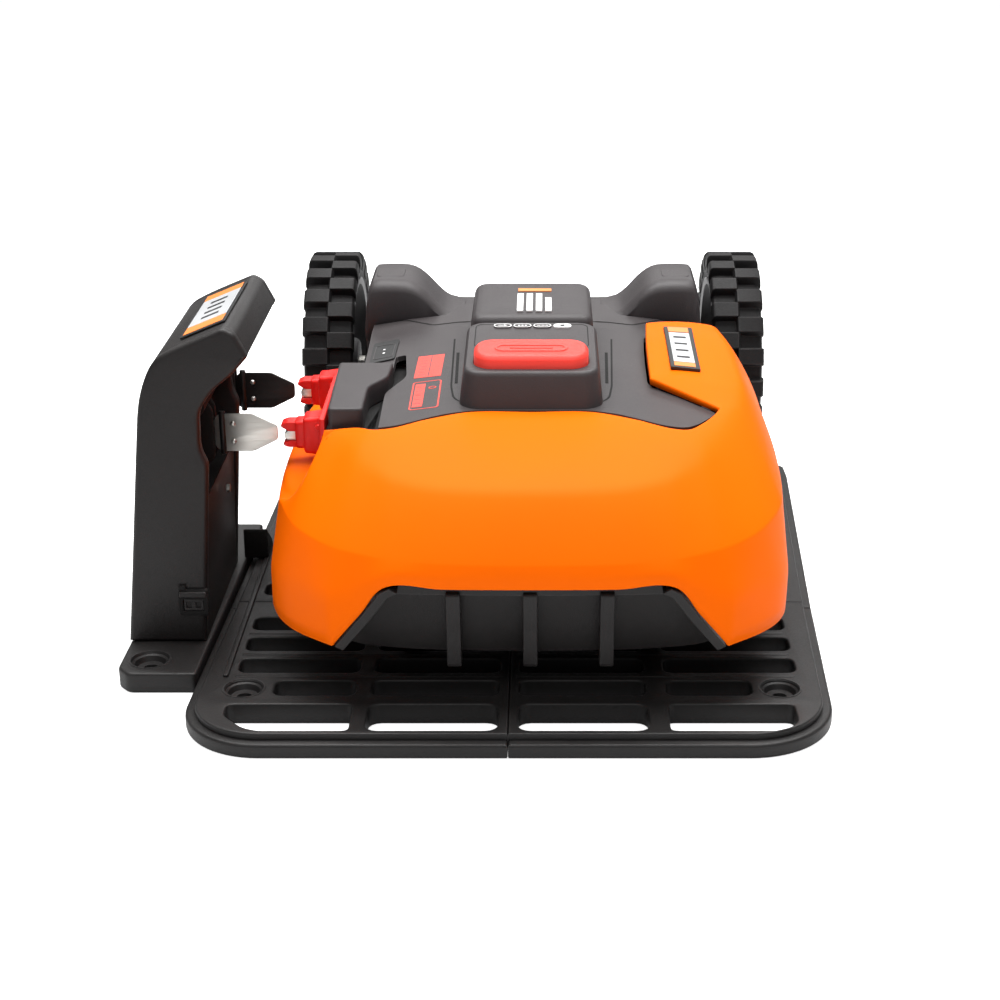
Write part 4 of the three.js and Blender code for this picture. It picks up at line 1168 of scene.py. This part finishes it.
# flanges down the sloping ends of the front arch
FLANGE = [(96, -486.5, 105.8), (103, -486, 102.2), (115.8, -484.2, 84.5), (135.2, -481.5, 60.5)]
for sign, tag in SIDES:
    rings = []
    for side, y, z in FLANGE:
        x, inner = sign * side, sign * (side - 6)
        rings.append([(x, y, z), (inner, y, z - 3.2), (inner, y + 14, z - 3.2), (x, y + 14, z)])
    from_data("skirt_flange_" + tag, *ring_loft(rings), SKIRT, bevel=0.8)

# ------------------------------------------------------------------ drive wheels
AXLE_Z = 117.2
WHEEL_INNER = 156
WHEEL_OUTER = 201
LUGS = 22
LUG_STEP = 2 * math.pi / LUGS
LUG_RINGS = [   # start and end in lug steps, radius, inset at the shoulder and at the middle
    (0.00, 0.60, 84.0, 0.9, 0), (0.00, 0.60, 91.0, 0.0, 0), (0.03, 0.57, 97.2, 0.6, 0),
    (0.05, 0.55, 99.6, 1.8, 1.2), (0.065, 0.535, 100.6, 3.8, 1.2)]
HUB_PROFILE = [     # radius, distance from the mower's centre plane
    (2, 160), (20, 160), (22, 163), (24, 172), (66, 174), (70, 168), (71.5, 158.5),
    (77.5, 157.6), (77.6, 198.2), (72, 198.4), (70.5, 196), (68, 189), (26, 188.5), (23, 190),
    (21, 196), (17, 198.2), (2, 198.2)]
SPOKE_RINGS = [(22, 8, 194.5), (46, 6.5, 193), (70, 9.5, 195.5)]    # radius, half width, face


def lug(x0, x1, angle, at_low_side):
    """one tread block; its shoulder is at the low or the high x side"""
    rings = []
    for start, end, radius, shoulder, middle in LUG_RINGS:
        low = x0 + (shoulder if at_low_side else middle)
        high = x1 - (middle if at_low_side else shoulder)
        ring = []
        for x, turn in ((low, start), (high, start), (high, end), (low, end)):
            a = angle + turn * LUG_STEP
            ring.append((x, radius * math.cos(a), AXLE_Z + radius * math.sin(a)))
        rings.append(ring)
    return ring_loft(rings)


def tyre(tag, sign, body):
    x0, x1 = sorted((sign * WHEEL_INNER, sign * WHEEL_OUTER))
    middle = (x0 + x1) / 2
    carcass = [(78, x0 + 5), (84, x0 + 1.6), (89, x0 + 1.0), (92, x0 + 3), (92.8, x0 + 8),
               (92.8, x1 - 8), (92, x1 - 3), (89, x1 - 1.0), (84, x1 - 1.6), (78, x1 - 5)]
    parts = [lathe(carcass, 132, "x", (0, 0, AXLE_Z))]
    for column, (low, high) in enumerate(((x0 - 0.2, middle + 1.5), (middle - 1.5, x1 + 0.2))):
        # the outer column is half a step ahead of the inner one on the right wheel, and
        # the low-x column is on the left
        shift = 0.5 if (column == 1) != (sign < 0) else 0
        parts += [lug(low, high, (i + shift) * LUG_STEP, column == 0) for i in range(LUGS)]
    from_data("tyre_tread_" + tag, *join_data(parts), ("tyre", body, "tyre"), smooth=28,
              bevel=0.55, segments=1, replaces=("tyre_" + tag,))


def hub(tag, sign, body):
    """a dished hub with six spokes on its outer face"""
    look = ("hub", body, "grey_plastic")
    profile = [(radius, sign * distance) for radius, distance in HUB_PROFILE]
    from_data("hub_dish_" + tag, *lathe(profile, 72, "x", (0, 0, AXLE_Z)), look, smooth=30,
              replaces=("wheel_hub_" + tag,))
    parts = []
    for i in range(6):
        c, s = math.cos(i * math.pi / 3), math.sin(i * math.pi / 3)
        rings = []
        for radius, half, face in SPOKE_RINGS:
            corners = ((-half, 187), (half, 187), (half - 1.5, face), (-half + 1.5, face))
            rings.append([(sign * x, radius * c - w * s, AXLE_Z + radius * s + w * c)
                          for w, x in corners])
        parts.append(ring_loft(rings))
    from_data("hub_spokes_" + tag, *join_data(parts), look, smooth=30, bevel=0.8)


for sign, tag in SIDES:
    tyre(tag, sign, "drive_wheel_" + tag)
    hub(tag, sign, "drive_wheel_" + tag)

# ------------------------------------------------------------------ CAD pieces kept as they are
KEPT = [    # material, bevel width in metres, nodes
    ("pcb", 0.0006, ["tower_circuit_board", "main_circuit_board"]),
    ("dark", 0.0012, ["battery_pack", "lower_chassis"]),
    ("hub", 0.0012, ["drive_gearbox_left", "drive_gearbox_right", "blade_disc",
                     "caster_fork_left", "caster_fork_right"]),
    ("motor", 0.0012, ["blade_motor"]),
    ("tyre", 0.0012, ["caster_wheel_left", "caster_wheel_right"]),
    ("steel", 0.0006, ["caster_axle_left", "caster_axle_right", "drive_shaft_left",
                       "drive_shaft_right", "blade_screw_1", "blade_screw_2", "blade_screw_3"]),
    ("steel", 0.0002, ["cutter_blade_1", "cutter_blade_2", "cutter_blade_3"]),
]
for mat, width, names in KEPT:
    for name in names:
        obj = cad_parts[name]
        obj.data.materials.clear()
        obj.data.materials.append(MATERIALS[mat])
        weld = obj.modifiers.new("weld", "WELD")
        weld.merge_threshold = 0.00002
        add_bevel(obj, width, segments=2, angle=40, harden=False)

# ------------------------------------------------------------------ floor
floor_mesh = bpy.data.meshes.new("floor")
floor_mesh.from_pydata([(-12, -8, 0), (12, -8, 0), (12, 20, 0), (-12, 20, 0)], [],
                       [(0, 1, 2, 3)])
floor = bpy.data.objects.new("floor", floor_mesh)
bpy.context.scene.collection.objects.link(floor)
floor_white = bpy.data.materials.new("floor_white")
floor_white.use_nodes = True
tree = floor_white.node_tree
# a glow for the camera only keeps the far floor pale
light_path = add_node(tree, "LightPath")
glow = math_node(tree, "MULTIPLY", light_path.outputs["Is Camera Ray"], 0.78)
wire(tree, tree.nodes["Principled BSDF"], {
    "Base Color": (0.86, 0.86, 0.86, 1), "Roughness": 0.9,
    "Emission Color": (1, 1, 1, 1), "Emission Strength": glow})
floor_mesh.materials.append(floor_white)


# ------------------------------------------------------------------ lights, world, camera
def area_light(name, location, target, size, power):
    """metres and watts"""
    data = bpy.data.lights.new(name, "AREA")
    data.shape = "RECTANGLE"
    data.size, data.size_y = size
    data.energy = power
    lamp = bpy.data.objects.new(name, data)
    bpy.context.scene.collection.objects.link(lamp)
    lamp.location = location
    aim = Vector(target) - Vector(location)
    lamp.rotation_euler = aim.to_track_quat("-Z", "Y").to_euler()


area_light("top_soft", location=(0, 0.25, 2.0), target=(0, -0.15, 0), size=(2.4, 1.8), power=100)
area_light("front_fill", location=(0.6, -2.4, 1.2), target=(0, -0.3, 0.1), size=(1.8, 1.2),
           power=2.5)
area_light("band_light", location=(0.0, -1.5, 1.9), target=(0, -0.42, 0.15), size=(2.2, 1.0),
           power=14.5)
area_light("back_rim", location=(0.2, 2.2, 1.2), target=(0, 0, 0.15), size=(2.2, 0.8), power=9)

# the world is full white to the camera and dim to everything else
world = bpy.data.worlds.new("world")
bpy.context.scene.world = world
world.use_nodes = True
tree = world.node_tree
light_path = add_node(tree, "LightPath")
strength = map_range(tree, light_path.outputs["Is Camera Ray"], (0.0, 1.0), (0.20, 1.0))
wire(tree, tree.nodes["Background"], {"Color": (1, 1, 1, 1), "Strength": strength})
bpy.context.scene.view_settings.view_transform = "Standard"

camera_data = bpy.data.cameras.new("camera")
camera = bpy.data.objects.new("camera", camera_data)
bpy.context.scene.collection.objects.link(camera)
camera.location = (0.0095, -1.6318, 0.620)
camera.rotation_euler = (math.radians(90 - 21.4), 0, 0)     # tilted 21.4 degrees down
camera_data.sensor_width = 36
camera_data.lens = 66.6
camera_data.shift_x = -0.044
camera_data.clip_start = 0.05
camera_data.clip_end = 60
bpy.context.scene.camera = camera
